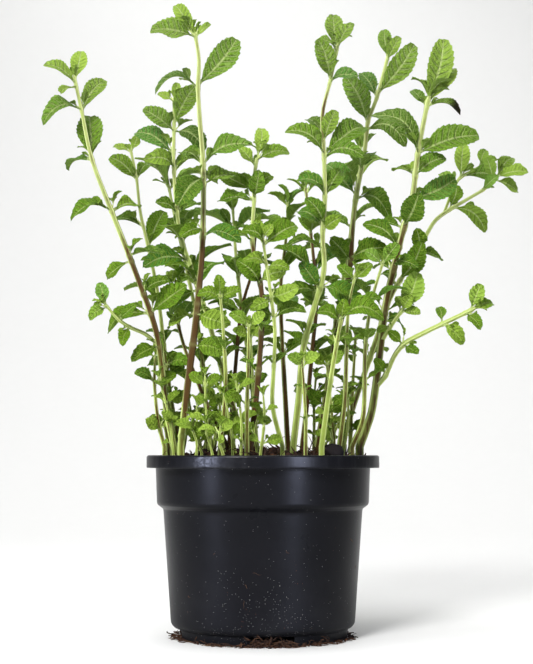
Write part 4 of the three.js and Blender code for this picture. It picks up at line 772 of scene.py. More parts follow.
def set_attributes(obj, **values):
    """Gives each point of a piece the values that its material reads"""
    for name, value in values.items():
        layer = obj.data.attributes.new(name, "FLOAT", "POINT")
        value = np.broadcast_to(np.asarray(value, dtype=np.float32), len(obj.data.vertices))
        layer.data.foreach_set("value", np.ascontiguousarray(value))


def copy_of(template, name):
    """A copy of a modelled shape with its own mesh"""
    made = template.copy()
    made.data = template.data.copy()
    made.name = made.data.name = name
    bpy.context.collection.objects.link(made)
    return made


def joined(pieces, name):
    """Several pieces as one"""
    pick(*pieces)
    if len(pieces) > 1:
        bpy.ops.object.join()
    pieces[0].name = pieces[0].data.name = name
    return pieces[0]


def welded(obj):
    """Closes the seams and ends of the rods in a piece"""
    pick(obj)
    bpy.ops.object.mode_set(mode="EDIT")
    bpy.ops.mesh.select_all(action="SELECT")
    bpy.ops.mesh.remove_doubles(threshold=1e-7)
    bpy.ops.object.mode_set(mode="OBJECT")
    return obj


TEMPLATES = {}


def sheet(columns, rows, thick):
    """A flat sheet of faces, modelled once: rods and blades are shaped from its copies"""
    key = (columns, rows, thick)
    if key not in TEMPLATES:
        made = added(bpy.ops.mesh.primitive_grid_add, x_subdivisions=columns, y_subdivisions=rows, size=2)
        if thick:
            modify(made, "SOLIDIFY", thickness=0.02, offset=0)
            bpy.ops.object.shade_smooth_by_angle(angle=math.radians(40))
        else:
            bpy.ops.object.shade_smooth()
        flat = points_of(made)
        column = np.rint((flat[:, 0] + 1) / 2 * columns).astype(int)
        row = np.rint((flat[:, 1] + 1) / 2 * rows).astype(int)
        TEMPLATES[key] = made, column, row, np.sign(flat[:, 2])
    return TEMPLATES[key]


def clear_templates():
    for made, *_ in TEMPLATES.values():
        bpy.data.objects.remove(made)
    TEMPLATES.clear()


def unit(vector):
    return vector / np.linalg.norm(vector)


def rod(name, path, radii, columns, square=False, reference=(1, 0, 0)):
    """A closed rod along a path in millimetres, round or with a mint stem's grooved square section"""
    path = np.asarray(path, dtype=float)
    template, column, ring, _ = sheet(columns, len(path) - 1, False)
    heading = np.gradient(path, axis=0)
    heading /= np.linalg.norm(heading, axis=1)[:, None]
    side = np.array(reference, dtype=float) - heading * (heading @ np.array(reference))[:, None]
    side /= np.linalg.norm(side, axis=1)[:, None]
    other = np.cross(heading, side)
    angle = 2 * math.pi * (column % columns + 0.5) / columns
    across, over = np.cos(angle), np.sin(angle)
    reach = np.asarray(radii, dtype=float)[ring]
    if square:
        reach = reach / (abs(across) ** SQUARENESS + abs(over) ** SQUARENESS) ** (1 / SQUARENESS)
        reach = reach * (1 - RIDGE_DEPTH * np.cos(4 * angle))
    points = path[ring] + side[ring] * (across * reach)[:, None] + other[ring] * (over * reach)[:, None]
    made = copy_of(template, name)
    set_points(made, points * MM)
    return made, ring, angle


# The pot

def pot_profile(look):
    """The pot's section from the axis under its floor, up outside, and down inside to the axis"""
    height, rim, collar = look.height / MM, look.rim_radius / MM, look.collar_radius / MM
    step, top, foot = look.step_height / MM, look.body_top / MM, look.body_foot / MM
    ring, ring_height, wall = look.foot_radius / MM, look.foot_height / MM, look.wall / MM
    skirt = height - look.rim_depth / MM
    hub, floor = 21, ring_height + 1.3
    return [
        (0, 0, 0), (hub, 0, 0.5), (hub + 1.5, ring_height, 0.5), (ring - 2.2, ring_height, 0.5),
        (ring - 1.6, 0, 0.3), (ring - 0.6, 0, 0.35), (ring, ring_height - 0.4, 0.2),
        (ring + 0.3, ring_height + 0.1, 0.2), (ring + 1.9, ring_height + 0.5, 0.3),
        (foot - 0.35, ring_height + 2.2, 1.0), (foot, ring_height + 5.2, 1.4),
        (top - 0.1, step - 4.2, 0.8), (top + 0.1, step - 2.6, 0.5), (collar - 1.3, step - 0.3, 0.6),
        (collar - 0.9, step + 1.2, 0.5), (collar, height - 3.2, 0.8),
        (collar + 0.1, height - 1.9, 0.4), (rim - 1.4, height - 1.7, 0.4),
        (rim - 1.05, skirt + 0.2, 0.15), (rim - 0.1, skirt, 0.3), (rim, skirt + 1.0, 0.3),
        (rim - 0.05, height - 0.7, 0.6), (rim - 0.9, height, 0.6), (collar + 0.2, height, 0.5),
        (collar - wall, height - 1.1, 0.5), (collar - 1 - wall, step + 0.8, 0.8),
        (top - wall, step - 1.6, 0.6), (foot - wall, ring_height + 5, 1.6),
        (ring - 0.6, floor, 1.2), (hub + 0.2, floor, 0.4), (hub - 1.2, 1.3, 0.4), (0, 1.3, 0),
    ]


def plastic_finish(look):
    """Black moulded plastic with a soft shine, a worn and scuffed rim, and dust towards the foot"""
    f = Finish("black_plastic", Specular_IOR_Level=0.07, Coat_Roughness=0.25)
    spot = f.places()
    across, out, up = (f.axis(spot, name) for name in "XYZ")
    front = f.smooth(out, 0.0, -0.03)
    streaks = f.noise(f.scaled(spot, (1, 1, 0.12)), scale=160, detail=4, rough=0.6)
    cloud = f.noise(spot, scale=34, detail=4, rough=0.6)
    fine = f.noise(spot, scale=900, detail=2, rough=0.6)
    rim = f.smooth(up, 0.0915, 0.094)
    low = f.smooth(up, 0.062, 0.006)
    middle = f.smooth(abs(across), 0.04, 0.002) * front
    base = f.mix(cloud, look.plastic, times(look.plastic, 1.7))
    base = f.mix(rim * f.smooth(streaks, 0.45, 0.8) * 0.35, base, look.scuff)
    grains = 0
    for scale, size, least in ((330, 0.08, 0.988), (700, 0.13, 0.97), (1200, 0.18, 0.95)):
        far = f.cells(spot, scale, "Distance")
        chance = f.axis(f.cells(spot, scale, "Color"), "X")
        bar = least - low * (0.015 + 0.42 * middle * low)
        grains = f.smooth(far, size, size * 0.5) * f.smooth(chance - bar, 0.0, 0.02) + grains
    film = low * low * f.smooth(cloud, 0.42, 0.8) * 0.012
    base = f.mix(film, base, look.dust)
    tint = f.noise(spot, scale=200, detail=2, rough=0.5)
    speck = f.mix(f.smooth(tint, 0.58, 0.64), look.dust, look.soil)
    f.set("Base Color", f.mix(f.node("Clamp", {}, {0: grains * 0.9}), base, speck))
    f.set("Roughness", 0.24 + 0.10 * cloud + 0.16 * low * low + 0.08 * rim * streaks)
    worn = f.smooth(abs(across + 0.024), 0.022, 0.008) * f.smooth(streaks * 0.5 + fine * 0.5, 0.40, 0.62)
    f.set("Coat Weight", rim * (0.02 + front * worn * 0.4) + front * (1 - rim) * cloud * 0.03)
    relief = fine * 0.25 + cloud * 2.5 + grains * 0.8 + rim * streaks * 2.2
    f.bump(relief, strength=0.35, distance=0.0002)
    return f.material


def make_pot(look):
    """The moulded pot, with its notches and drain holes cut out"""
    pot = turned("nursery_pot", rounded(pot_profile(look)), POT_STEPS)
    for turn in range(look.notches):
        angle = math.radians(FRONT_NOTCH + 360 / look.notches * turn)
        notch = added(bpy.ops.mesh.primitive_cube_add, size=1)
        notch.scale = (look.notch_depth, look.notch_width, 2 * look.foot_height - 0.0004)
        notch.location = (*around(look.foot_radius, angle), 0)
        notch.rotation_euler.z = angle
        settle(notch)
        modify(notch, "BEVEL", width=0.0008, segments=3)
        cut(pot, notch)
    for turn in range(look.drains):
        angle = math.radians(FIRST_DRAIN + 360 / look.drains * turn)
        place_on_floor = (*around(look.drain_circle, angle), look.foot_height + 0.0006)
        cut(pot, added(
            bpy.ops.mesh.primitive_cylinder_add, vertices=DRAIN_SIDES, radius=look.drain_radius,
            depth=0.006, location=place_on_floor))
    pick(pot)
    bpy.ops.object.shade_smooth_by_angle(angle=math.radians(32))
    finish_piece(pot, plastic_finish(look), ["pot"])


# The peat

def peat_finish(look):
    """Dark, damp peat with dry brown crumbs"""
    f = Finish("peat_crumbs", Specular_IOR_Level=0.1)
    spot = f.places()
    crumbs = f.noise(spot, scale=420, detail=5, rough=0.65)
    patches = f.noise(spot, scale=75, detail=3, rough=0.6)
    base = f.mix(f.smooth(crumbs * 0.6 + patches * 0.4, 0.40, 0.66), look.dark, look.brown)
    flecks = f.noise(f.scaled(spot, (1, 0.3, 1)), scale=900, detail=2, rough=0.5)
    f.set("Base Color", f.mix(f.smooth(flecks, 0.64, 0.72) * 0.5, base, look.root))
    f.set("Roughness", 0.95 - 0.2 * crumbs)
    f.bump(crumbs, strength=0.9, distance=0.0012)
    return f.material


def lump_finish(look):
    """Wet, nearly black peat"""
    f = Finish("wet_peat", Roughness=0.85, Specular_IOR_Level=0.12)
    grain = f.noise(f.places(), scale=500, detail=4, rough=0.6)
    f.set("Base Color", f.mix(grain, look.black, look.dark))
    f.bump(grain, strength=0.8, distance=0.0006)
    return f.material


def fibre_finish(look):
    """Roots and fibres, from golden to dark brown"""
    f = Finish("root_fibres", Specular_IOR_Level=0.12)
    shade = f.attribute("shade")
    grain = f.noise(f.places(), scale=600, detail=3, rough=0.6)
    base = f.mix(shade, times(look.root, 0.16), look.root)
    base = f.mix(f.smooth(shade, 0.86, 0.97), base, look.straw)
    f.set("Base Color", f.mix(grain, base, times(look.brown, 0.55)))
    f.set("Roughness", 0.65 + 0.25 * grain)
    f.bump(grain, strength=0.5, distance=0.0003)
    return f.material


def peat_height(x, y, look):
    """Height of the peat's uneven top, in millimetres"""
    spread = min(1, math.hypot(x, y) / MOUND_RADIUS)
    lumps = math.sin(x * 0.21 + 1.3) * math.cos(y * 0.19) + math.sin(y * 0.33 - x * 0.12)
    rise = look.mound / MM * (1 - spread * spread) + 0.8 * lumps * (1 - spread)
    spot = Vector((x, y, 3.0))
    rough = 1.5 * noise.noise(spot * 0.13) + 0.9 * noise.noise(spot * 0.31) + 0.5 * noise.noise(spot * 0.8)
    return look.edge / MM + rise + rough * (0.35 + 0.65 * (1 - spread)) - 0.2


def scatter(dice, radius):
    """An even draw of a place within a circle"""
    return around(radius * math.sqrt(dice.random()), dice.uniform(0, 2 * math.pi))


def make_peat(look):
    """The peat in the pot, up to its lumpy top, and all that lies in it"""
    wall = 1.5
    profile = rounded([
        (0, 1.6, 0), (19.2, 1.6, 0.4), (20.6, 7, 0.4), (46.2, 7, 0.5), (49.5, 10, 1),
        (55.5 - wall, 71.6, 0.6), (59 - wall, 73.8, 0.6), (PEAT_EDGE, PEAT_BASE, 0)])
    for k in range(1, PEAT_RINGS + 1):
        profile.append(Vector((PEAT_EDGE * (1 - (k / PEAT_RINGS) ** 1.15), 0, PEAT_BASE)) * MM)
    peat = turned("peat_fill", profile, PEAT_STEPS)
    points = points_of(peat)
    for point in points:
        x, y, z = point / MM
        if z > PEAT_BASE - 0.1 and math.hypot(x, y) < PEAT_EDGE - 0.3:
            point[2] = peat_height(x, y, look) * MM
    set_points(peat, points)
    pick(peat)
    bpy.ops.object.shade_smooth()
    material = peat_finish(look)
    finish_piece(peat, material, ["peat"])
    make_clods(look, material)
    make_fibres(look)


def make_clods(look, material):
    """Loose clods on the peat, the dark lump, and the crumbs that stick under the foot's notches"""
    dice = random.Random(7)
    masters = []
    for i in range(CLOD_SHAPES):
        master = added(bpy.ops.mesh.primitive_ico_sphere_add, subdivisions=2 if i else 3, radius=1)
        points = points_of(master)
        rough = 0.35 if i else 0.2
        for point in points:
            point *= 1 + rough * noise.noise(Vector(point) * 1.6 + Vector((5 * i, 0, 0)))
        set_points(master, points)
        bpy.ops.object.shade_smooth()
        masters.append(master)
    clods = []

    def drop(master, at, size, flat=0.7):
        clod = copy_of(master, "clod")
        clod.location = Vector(at) * MM
        clod.scale = Vector([size * dice.uniform(0.7, 1.2) for _ in range(2)] + [size * flat]) * MM
        clod.rotation_euler = [dice.uniform(-0.4, 0.4), dice.uniform(-0.4, 0.4), dice.uniform(0, 6.28)]
        clods.append(clod)

    def drop_on_peat(spot, size, raised):
        master = dice.choice(masters[1:])
        drop(master, (*spot, peat_height(*spot, look) + raised * size), size)

    for _ in range(look.clods):
        spot = scatter(dice, CLOD_REACH)
        size = dice.uniform(*CLOD_SIZES) * (1.6 if dice.random() < 0.12 else 1)
        drop_on_peat(spot, size, raised=0.25)
    drop(masters[0], LUMP_PLACE, size=1)
    lump = joined([clods.pop()], "peat_lump")
    lump.scale = Vector(LUMP_SIZE) * MM
    lump.rotation_euler = LUMP_TURN
    for _ in range(look.large_clods):
        spot = scatter(dice, LARGE_CLOD_REACH)
        drop_on_peat(spot, dice.uniform(*LARGE_CLOD_SIZES), raised=0.2)
    for _ in range(look.crumbs):
        front = dice.random() < 0.4
        beside = dice.gauss(FRONT_NOTCH, NOTCH_SPREAD) if front else dice.uniform(-180, 180)
        angle, radius = math.radians(beside), dice.uniform(*CRUMB_RING)
        heaped = front and radius < HEAP_RADIUS
        size = dice.uniform(0.35, 1.5 if heaped else 1.1)
        master = dice.choice(masters[1:])
        height = size * dice.uniform(0.7, 2.4 if heaped else 1.1)
        drop(master, (*around(radius, angle), height), size, flat=0.6)
    for master in masters:
        bpy.data.objects.remove(master)
    litter = joined(clods, "peat_clods")
    finish_piece(litter, material)
    finish_piece(lump, lump_finish(look))


def fibre_path(dice, kind, start, heading):
    """A wandering path for a kind of fibre"""
    reach, bends = dice.uniform(*kind.lengths), kind.bends
    heading = unit(np.array(heading, dtype=float))
    path = [np.array(start, dtype=float)]
    for _ in range(FIBRE_STEPS):
        turn = [dice.gauss(0, bends), dice.gauss(0, bends), dice.gauss(kind.lift, bends * 0.7)]
        heading = unit(heading + turn)
        path.append(path[-1] + heading * reach / FIBRE_STEPS)
    return np.array(path)


def make_fibres(look):
    """Fibres and twigs on the peat, the roots in the foot's notches, and threads on the pot"""
    dice = random.Random(11)
    fibres = []

    def lay(path, width, shade):
        made, *_ = rod("fibre", path, width * np.array(FIBRE_TAPER), 5, reference=(0.1, 0.2, 1))
        set_attributes(made, shade=shade)
        fibres.append(made)

    for _ in range(look.fibres):
        x, y = scatter(dice, FIBRE_REACH)
        way = (*around(1, dice.uniform(0, 2 * math.pi)), 0.25)
        start = (x, y, peat_height(x, y, look) + 0.2)
        path = fibre_path(dice, ROOT, start, way)
        for point in path:
            far = math.hypot(point[0], point[1])
            if far > PEAT_INSIDE:
                point[:2] *= PEAT_INSIDE / far
            point[2] = max(point[2], peat_height(point[0], point[1], look) + 0.1)
        lay(path, dice.uniform(*ROOT.widths), dice.random() ** 2.2)
    for _ in range(look.twigs):
        x, y = scatter(dice, TWIG_REACH)
        way = (dice.gauss(0, 0.6), dice.gauss(0, 0.6), 1)
        start = (x, y, peat_height(x, y, look) - 1)
        path = fibre_path(dice, TWIG, start, way)
        lay(path, dice.uniform(*TWIG.widths), dice.uniform(0.0, 0.25))
    for _ in range(look.fringe):
        front = dice.random() < 0.3
        beside = dice.uniform(-172, -8) if dice.random() < 0.75 else dice.uniform(-180, 180)
        angle = math.radians(dice.gauss(FRONT_NOTCH, NOTCH_SPREAD) if front else beside)
        radius = dice.uniform(*FRINGE_RING)
        way = (*around(1, angle + dice.gauss(0, 1.3)), -0.15)
        start = (*around(radius, angle), dice.uniform(0.5, 4 if front else 1.4))
        path = fibre_path(dice, FRINGE, start, way)
        far = np.hypot(path[:, 0], path[:, 1])
        path[:, :2] *= (np.minimum(far, FRINGE_LIMIT) / far)[:, None]
        path[:, 2] = np.maximum(path[:, 2], FRINGE_LOWEST)
        lay(path, dice.uniform(*FRINGE.widths), dice.uniform(0.1, 0.95) ** 1.6)
    for _ in range(look.threads):
        angle, height = math.radians(dice.uniform(-165, -15)), dice.uniform(12, 60)
        start, way = (angle * WALL_RADIUS, 0, height), (dice.gauss(0, 1), 0, dice.gauss(0, 1))
        path = fibre_path(dice, THREAD, start, way)
        wall = WALL_FOOT + (path[:, 2] - WALL_FOOT_HEIGHT) * WALL_GAIN / WALL_GAIN_HEIGHT + THREAD_LIFT
        turn = path[:, 0] / WALL_RADIUS
        path = np.column_stack([wall * np.cos(turn), wall * np.sin(turn), path[:, 2]])
        lay(path, dice.uniform(*THREAD.widths), dice.uniform(0.4, 0.95))
    litter = welded(joined(fibres, "peat_fibres"))
    finish_piece(litter, fibre_finish(look))


# Growth, as in the solids

class Draw:
    """A draw that repeats from its seed"""

    def __init__(self, seed):
        self.state = seed
        self.next()
        self.next()

    def next(self):
        self.state = (self.state * 1664525 + 1013904223) % 4294967296
        return self.state / 4294967296

    def between(self, low, high):
        return low + (high - low) * self.next()


def place(across, height, depth):
    """The real place of a point read from the front"""
    right = (across - EYE_ACROSS) / EYE_DISTANCE
    up = (height - SIGHT_HEIGHT) / EYE_DISTANCE
    reach = (EYE_DISTANCE + depth) / (math.cos(EYE_TILT) - up * math.sin(EYE_TILT))
    rise = reach * (math.sin(EYE_TILT) + up * math.cos(EYE_TILT))
    return np.array([EYE_ACROSS + reach * right, depth, EYE_HEIGHT + rise])


def route_point(route, part):
    """A point on the smooth curve through a route, at a share of its steps"""
    last = len(route) - 1
    at = part * last
    index = min(math.floor(at), last - 1)
    t = at - index
    padded = [2 * route[0] - route[1], *route, 2 * route[last] - route[last - 1]]
    a, b, c, d = padded[index:index + 4]
    start, end = (c - a) / 2, (d - b) / 2
    return (b + start * t + (3 * (c - b) - 2 * start - end) * t * t
            + (2 * (b - c) + start + end) * t * t * t)


class Trace:
    """The fine points of a route, as seen and in place, with the stem's half width at each"""

    def __init__(self, route, foot, tip):
        route = [np.array(point, dtype=float) for point in route]
        steps = (len(route) - 1) * ROUTE_STEPS
        self.seen = np.array([route_point(route, i / steps) for i in range(steps + 1)])
        self.at = np.array([place(*seen) for seen in self.seen])
        self.width = foot + (tip - foot) * np.arange(steps + 1) / steps

    def nearest(self, height):
        return int(np.argmin(abs(self.seen[:, 1] - height)))


class Leaf:
    """A leaf: where it is rooted, which way it grows and how it is turned"""

    def __init__(self, root, stem_width, way, size, width, facing, bow, up=None):
        self.root, self.stem_width = root, stem_width
        self.length, self.width, self.facing, self.bow = size, width, facing, bow
        self.along = unit(way)
        up = np.array([0, -facing, 1 - abs(facing)]) if up is None else up
        self.up = up - self.along * up.dot(self.along)
        if np.linalg.norm(self.up) < 0.05:
            turn = self.along[1] - 0.1 * self.along[2]
            self.up = np.array([0, -1, 0.1]) + self.along * turn
        self.up = unit(self.up)
        self.side = np.cross(self.along, self.up)
        self.stalk = (stem_width + STALK_LENGTH) / size
        self.depth = STALK_ROOT * stem_width / size
        self.tone = self.blue = None
        self.wither = 0
        self.index = 0

    def bent(self, across, depth, rise, scale):
        way = self.along + np.array([across, depth, rise])
        return Leaf(self.root, self.stem_width, way, self.length * scale, self.width * scale,
                    self.facing, self.bow * scale)

    def samples(self):
        """Points spread over the blade, and which of them are near its root"""
        steps = math.ceil(self.length * (1 - self.stalk) / SAMPLE_STEP)
        shares, offsets, near = [], [], []
        for i in range(1, steps + 1):
            part = i / steps
            half = blade_width(min(part, 0.97)) * self.width / 2
            rows = max(1, math.ceil(half / SAMPLE_STEP))
            for j in range(-rows, rows + 1):
                shares.append(self.stalk + (1 - self.stalk) * part)
                offsets.append(half * j / rows)
                near.append(part < 0.3)
        return self.points(np.array(shares), np.array(offsets)), np.array(near)

    def points(self, part, offset, lift=0.0):
        """Points of the middle surface, at shares of its length and millimetres to the side"""
        lift = (lift + 4 * self.bow * part * (1 - part) + FOLD * abs(offset)
                + WAVE * abs(offset) * np.sin(WAVE_TURNS * part + self.length))
        return (self.root + self.along * (self.length * part)[:, None]
                + self.side * offset[:, None] + self.up * lift[:, None])


def blade_width(part):
    """Half the blade's width, as a share of its widest"""
    return np.sin(math.pi * part ** BLADE_SKEW) ** (BASE_TAPER - TIP_ROUNDING * part)


def leaf_row(height, size, rise, azimuth, *rest):
    """The row of a leaf of a given length that grows at two angles"""
    level = size * math.cos(rise)
    return (height, level * math.cos(azimuth), size * math.sin(rise), level * math.sin(azimuth), *rest)


def listed_leaf(trace, row):
    """The leaf of a row, and the step of the trace that it grows from"""
    height, across, rise, depth, width, facing, bow = row[:7]
    step = trace.nearest(height)
    seen = trace.seen[step]
    way = place(seen[0] + across, seen[1] + rise, seen[2] + depth) - trace.at[step]
    size = float(np.linalg.norm(way))
    shown = EDGE_ON_WIDTH + (1 - EDGE_ON_WIDTH) * abs(facing)
    real = min(width / shown, size * WIDEST_RATIO)
    return Leaf(trace.at[step], trace.width[step], way, size, real, facing, bow), step


class Room:
    """The points of the stems and leaves already placed, and what keeps clear of them"""

    def __init__(self):
        self.points = {kind: np.full((MOST_POINTS, 6), 1e6) for kind in ("stem", "leaf")}
        self.filled = {"stem": 0, "leaf": 0}

    def add(self, kind, at, width, owner, near):
        start = self.filled[kind]
        end = start + len(at)
        rows = self.points[kind][start:end]
        rows[:, :3], rows[:, 3], rows[:, 4], rows[:, 5] = at, width, owner, near
        self.filled[kind] = end

    def clear(self, at, near, owner, share_of_room=1.0):
        """Whether points keep clear of what is placed, apart from a stem's own leaves at their roots"""
        if (at[:, 2] < LOWEST_LEAF).any():
            return False
        reach = STEM_CLEARANCE + WIDEST_STEM
        low, high = at.min(axis=0) - reach, at.max(axis=0) + reach
        for kind, room, own in (("stem", STEM_CLEARANCE, OWN_STEM_CLEARANCE),
                                ("leaf", LEAF_CLEARANCE, OWN_LEAF_CLEARANCE)):
            rows = self.points[kind][:self.filled[kind]]
            rows = rows[((rows[:, :3] > low) & (rows[:, :3] < high)).all(axis=1)]
            if not len(rows):
                continue
            far = np.linalg.norm(at[:, None] - rows[None, :, :3], axis=2)
            same = (rows[:, 4] == owner)[None]
            near_other = rows[:, 5].astype(bool)[None] if kind == "leaf" else False
            spared = same & (near[:, None] | near_other)
            needed = np.where(same, own, room) * share_of_room + rows[None, :, 3]
            if ((far < needed) & ~spared).any():
                return False
        return True

    def bend_clear(self, leaf, owner):
        """The leaf, bent to where it has room, or none"""
        for bend in BENDS:
            tried = leaf.bent(*bend)
            at, near = tried.samples()
            if self.clear(at, near, owner):
                self.add("leaf", at, 0, owner, near)
                return tried
        return None


def fill_rows(stem, draw):
    """The pairs between the listed leaves, each turned a quarter from the one below"""
    first, spacing, size, turn = stem.fill
    top = stem.route[-1][1]
    rows = []

    def pair(height, reach, azimuth, lift):
        for half in (0, 180):
            angle = math.radians(azimuth + half + draw.between(-TURN_STRAY, TURN_STRAY))
            rise = math.radians(lift + draw.between(-RISE_STRAY, RISE_STRAY))
            long = reach * draw.between(*SIZE_STRAY)
            rows.append(leaf_row(
                height + draw.between(-1, 1), long, rise, angle, long * BLADE_RATIO * PAIR_WIDTH,
                draw.between(*PAIR_FACING), long * draw.between(*PAIR_BOW)))

    turns, height = 0, first
    while height < top - spacing * LAST_SHARE:
        taken = any(abs(leaf[0] - height) < spacing * TAKEN_SHARE for leaf in stem.leaves)
        grown = min(FULL_GROWN, LOW_GROWN + (height - LOW_HEIGHT) / GROWN_SPAN)
        listed = stem.leaves and height > MIXED_HEIGHT
        azimuth = 90 + draw.between(-FRONT_STRAY, FRONT_STRAY) if listed else turn + 90 * turns
        if not taken:
            pair(height, size * grown, azimuth, PAIR_RISE)
        turns += 1
        height += spacing
    if not stem.leaves:
        for i, (below, part, lift) in enumerate(TIP_PAIRS):
            pair(top - below, size * part, turn + 90 * (turns + i), lift)
    return rows


class Part:
    """A stem or a side branch, with its leaves"""

    def __init__(self, route, foot, tip, rows, rooted):
        self.trace = Trace(route, foot, tip)
        self.rows, self.rooted, self.leaves = rows, rooted, []


def grow_plants():
    """Every stem with its side branches and the leaves that have room on it"""
    room, plants = Room(), []
    for owner, stem in enumerate(STEMS):
        parts = [Part(stem.route, stem.foot, stem.tip, stem.leaves, True)]
        width = stem.tip * BRANCH_SHARE
        for route, rows in stem.branches:
            parts.append(Part(route, width, width * BRANCH_TAPER, rows, False))
        plants.append((owner, stem, parts))
        for part in parts:
            room.add("stem", part.trace.at, part.trace.width, owner, False)

    def grow(owner, part, row):
        leaf, step = listed_leaf(part.trace, row)
        leaf = room.bend_clear(leaf, owner)
        if leaf:
            leaf.index = step
            if len(row) > 7:
                leaf.tone, leaf.blue, leaf.wither = (*row[7:], 0, 0)[:3]
            part.leaves.append(leaf)

    for owner, _, parts in plants:
        for part in parts:
            for row in part.rows:
                grow(owner, part, row)
    for owner, stem, parts in plants:
        for row in fill_rows(stem, Draw(SEED + owner)):
            grow(owner, parts[0], row)
    return plants, room


# Stems and leaves

def blade_outline(leaf, across, row, rows, tooth):
    """How far along the leaf and to its side each point lies: the stalk, then teeth that point forward"""
    step = row - STALK_ROWS
    part = np.clip(step / rows, 0, 1)
    half = leaf.width / 2 * blade_width(part)
    toothed = (abs(across) > 0.99) & (step > 1) & (step < rows)
    peak = step % tooth == tooth - 1
    half = half * np.where(toothed, np.where(peak, TOOTH_OUT, np.where(step % tooth == 0, TOOTH_IN, 1)), 1)
    forward = np.where(toothed & peak, TOOTH_FORWARD / rows, 0)
    stalk_half = 0.35 + 0.012 * leaf.length
    least = np.where(step >= rows, 0.1, stalk_half * np.clip(1.4 - part * 4, 0.2, 1))
    on_stalk = -leaf.depth + (leaf.stalk + leaf.depth) * np.clip(row / STALK_ROWS, 0, 1)
    along = np.where(step > 0, leaf.stalk + (1 - leaf.stalk) * (part + forward), on_stalk)
    return part, np.minimum(along, 1.0), across * np.maximum(half, least), stalk_half


def blade_relief(size, across, part, vein, offset, dice):
    """The quilting between the side veins, the sunken midrib, the curled tip and the rippled edge"""
    inner = np.minimum(1, abs(across) / 0.25) * (1 - abs(across) ** 4)
    inner = inner * np.sin(math.pi * np.minimum(1, part * 1.05 + 0.02)) ** 0.5
    swell = abs(np.sin(math.pi * vein)) - 0.4
    phase = dice.uniform(0, 6.28)
    pucker = np.sin(6.3 * vein + phase) * np.sin(8 * across + phase)
    curl, sway, fold = dice.uniform(*CURLS) ** 1.3, dice.uniform(*SWAYS), dice.uniform(*FOLDS)
    ripple, turn = dice.uniform(*RIPPLES), dice.uniform(*RIPPLE_TURNS)
    lift = inner * size * (QUILT_DEPTH * swell + PUCKER_DEPTH * pucker)
    lift = lift - curl * size * np.maximum(0, part - 0.45) ** 2 * 1.9
    lift = lift + ripple * size * abs(across) ** 2 * np.sin(turn * part + phase + 1.5 * np.sign(across))
    lift = lift - RIB_SINK * size * np.exp(-(offset / 0.6) ** 2) * (part > 0) + fold * abs(offset)
    return lift, sway


def make_blade(leaf, dice, thickness):
    """One leaf: a toothed, quilted blade of two faces on its stalk"""
    size = leaf.length
    rows, half_columns, tooth = next(sizes for least, *sizes in BLADE_SIZES if size >= least)
    template, column, row, face = sheet(2 * half_columns, rows + STALK_ROWS, True)
    sides = (column - half_columns) / half_columns
    across = np.sign(sides) * abs(sides) ** 0.85
    part, along, offset, stalk_half = blade_outline(leaf, across, row, rows, tooth)
    veins = next(pairs for least, pairs in VEIN_PAIRS if size >= least)
    vein = veins * part - 1.25 * abs(across) ** 1.25
    lift, sway = blade_relief(size, across, part, vein, offset, dice)
    rib = np.exp(-(offset / (0.35 + 0.006 * size)) ** 2) * (1 - part) * min(1, size / 22)
    half_thick = thickness / 2 + np.where(face < 0, RIB_UNDER, RIB_OVER) * rib
    on_stalk = row <= STALK_ROWS
    half_thick = np.where(on_stalk, stalk_half * np.sqrt(np.maximum(0.05, 1 - across ** 2)), half_thick)
    offset = offset + sway * size * np.sin(math.pi * part)
    made = copy_of(template, "leaf")
    set_points(made, leaf.points(along, offset, lift + face * half_thick) * MM)
    set_attributes(
        made, across=across, along=part, vein=np.where(on_stalk, -10.0, vein),
        tone=leaf.tone + 0.35 * (0.4 - part) * (size < 16), blue=leaf.blue,
        under=face < 0, wither=leaf.wither * part)
    return made


def choose_tone(leaf, dice, height_share):
    """How light and how blue a leaf is: the young ones are light, and the low ones lighter, partly as
    young growth and partly as painted light against the shade of the leaves above
    """
    if leaf.tone is None:
        young = max(0, (height_share - 0.88) / 0.12) * 0.8 + max(0, (15 - leaf.length) / 15) * 0.6
        # Painted light, in part: leaves low on a stem are made lighter, lifting the shade that the foliage
        # above throws on them
        young += max(0, 0.42 - height_share) * 1.6
        leaf.tone = min(0.9, dice.uniform(*TONES) + young)
    if leaf.blue is None:
        leaf.blue = dice.uniform(*(LITTLE_BLUE if dice.random() < 0.85 else MUCH_BLUE))


def young_leaf(root, width, way, size, up, dice):
    """A small, light leaf of a shoot or a bud"""
    leaf = Leaf(root, width, way, size, size * dice.uniform(*YOUNG_WIDTHS), 0.5,
                size * dice.uniform(*YOUNG_BOWS), up=up)
    leaf.stalk, leaf.depth = YOUNG_STALK, YOUNG_ROOT
    leaf.tone, leaf.blue = dice.uniform(*YOUNG_TONES), 0
    return leaf


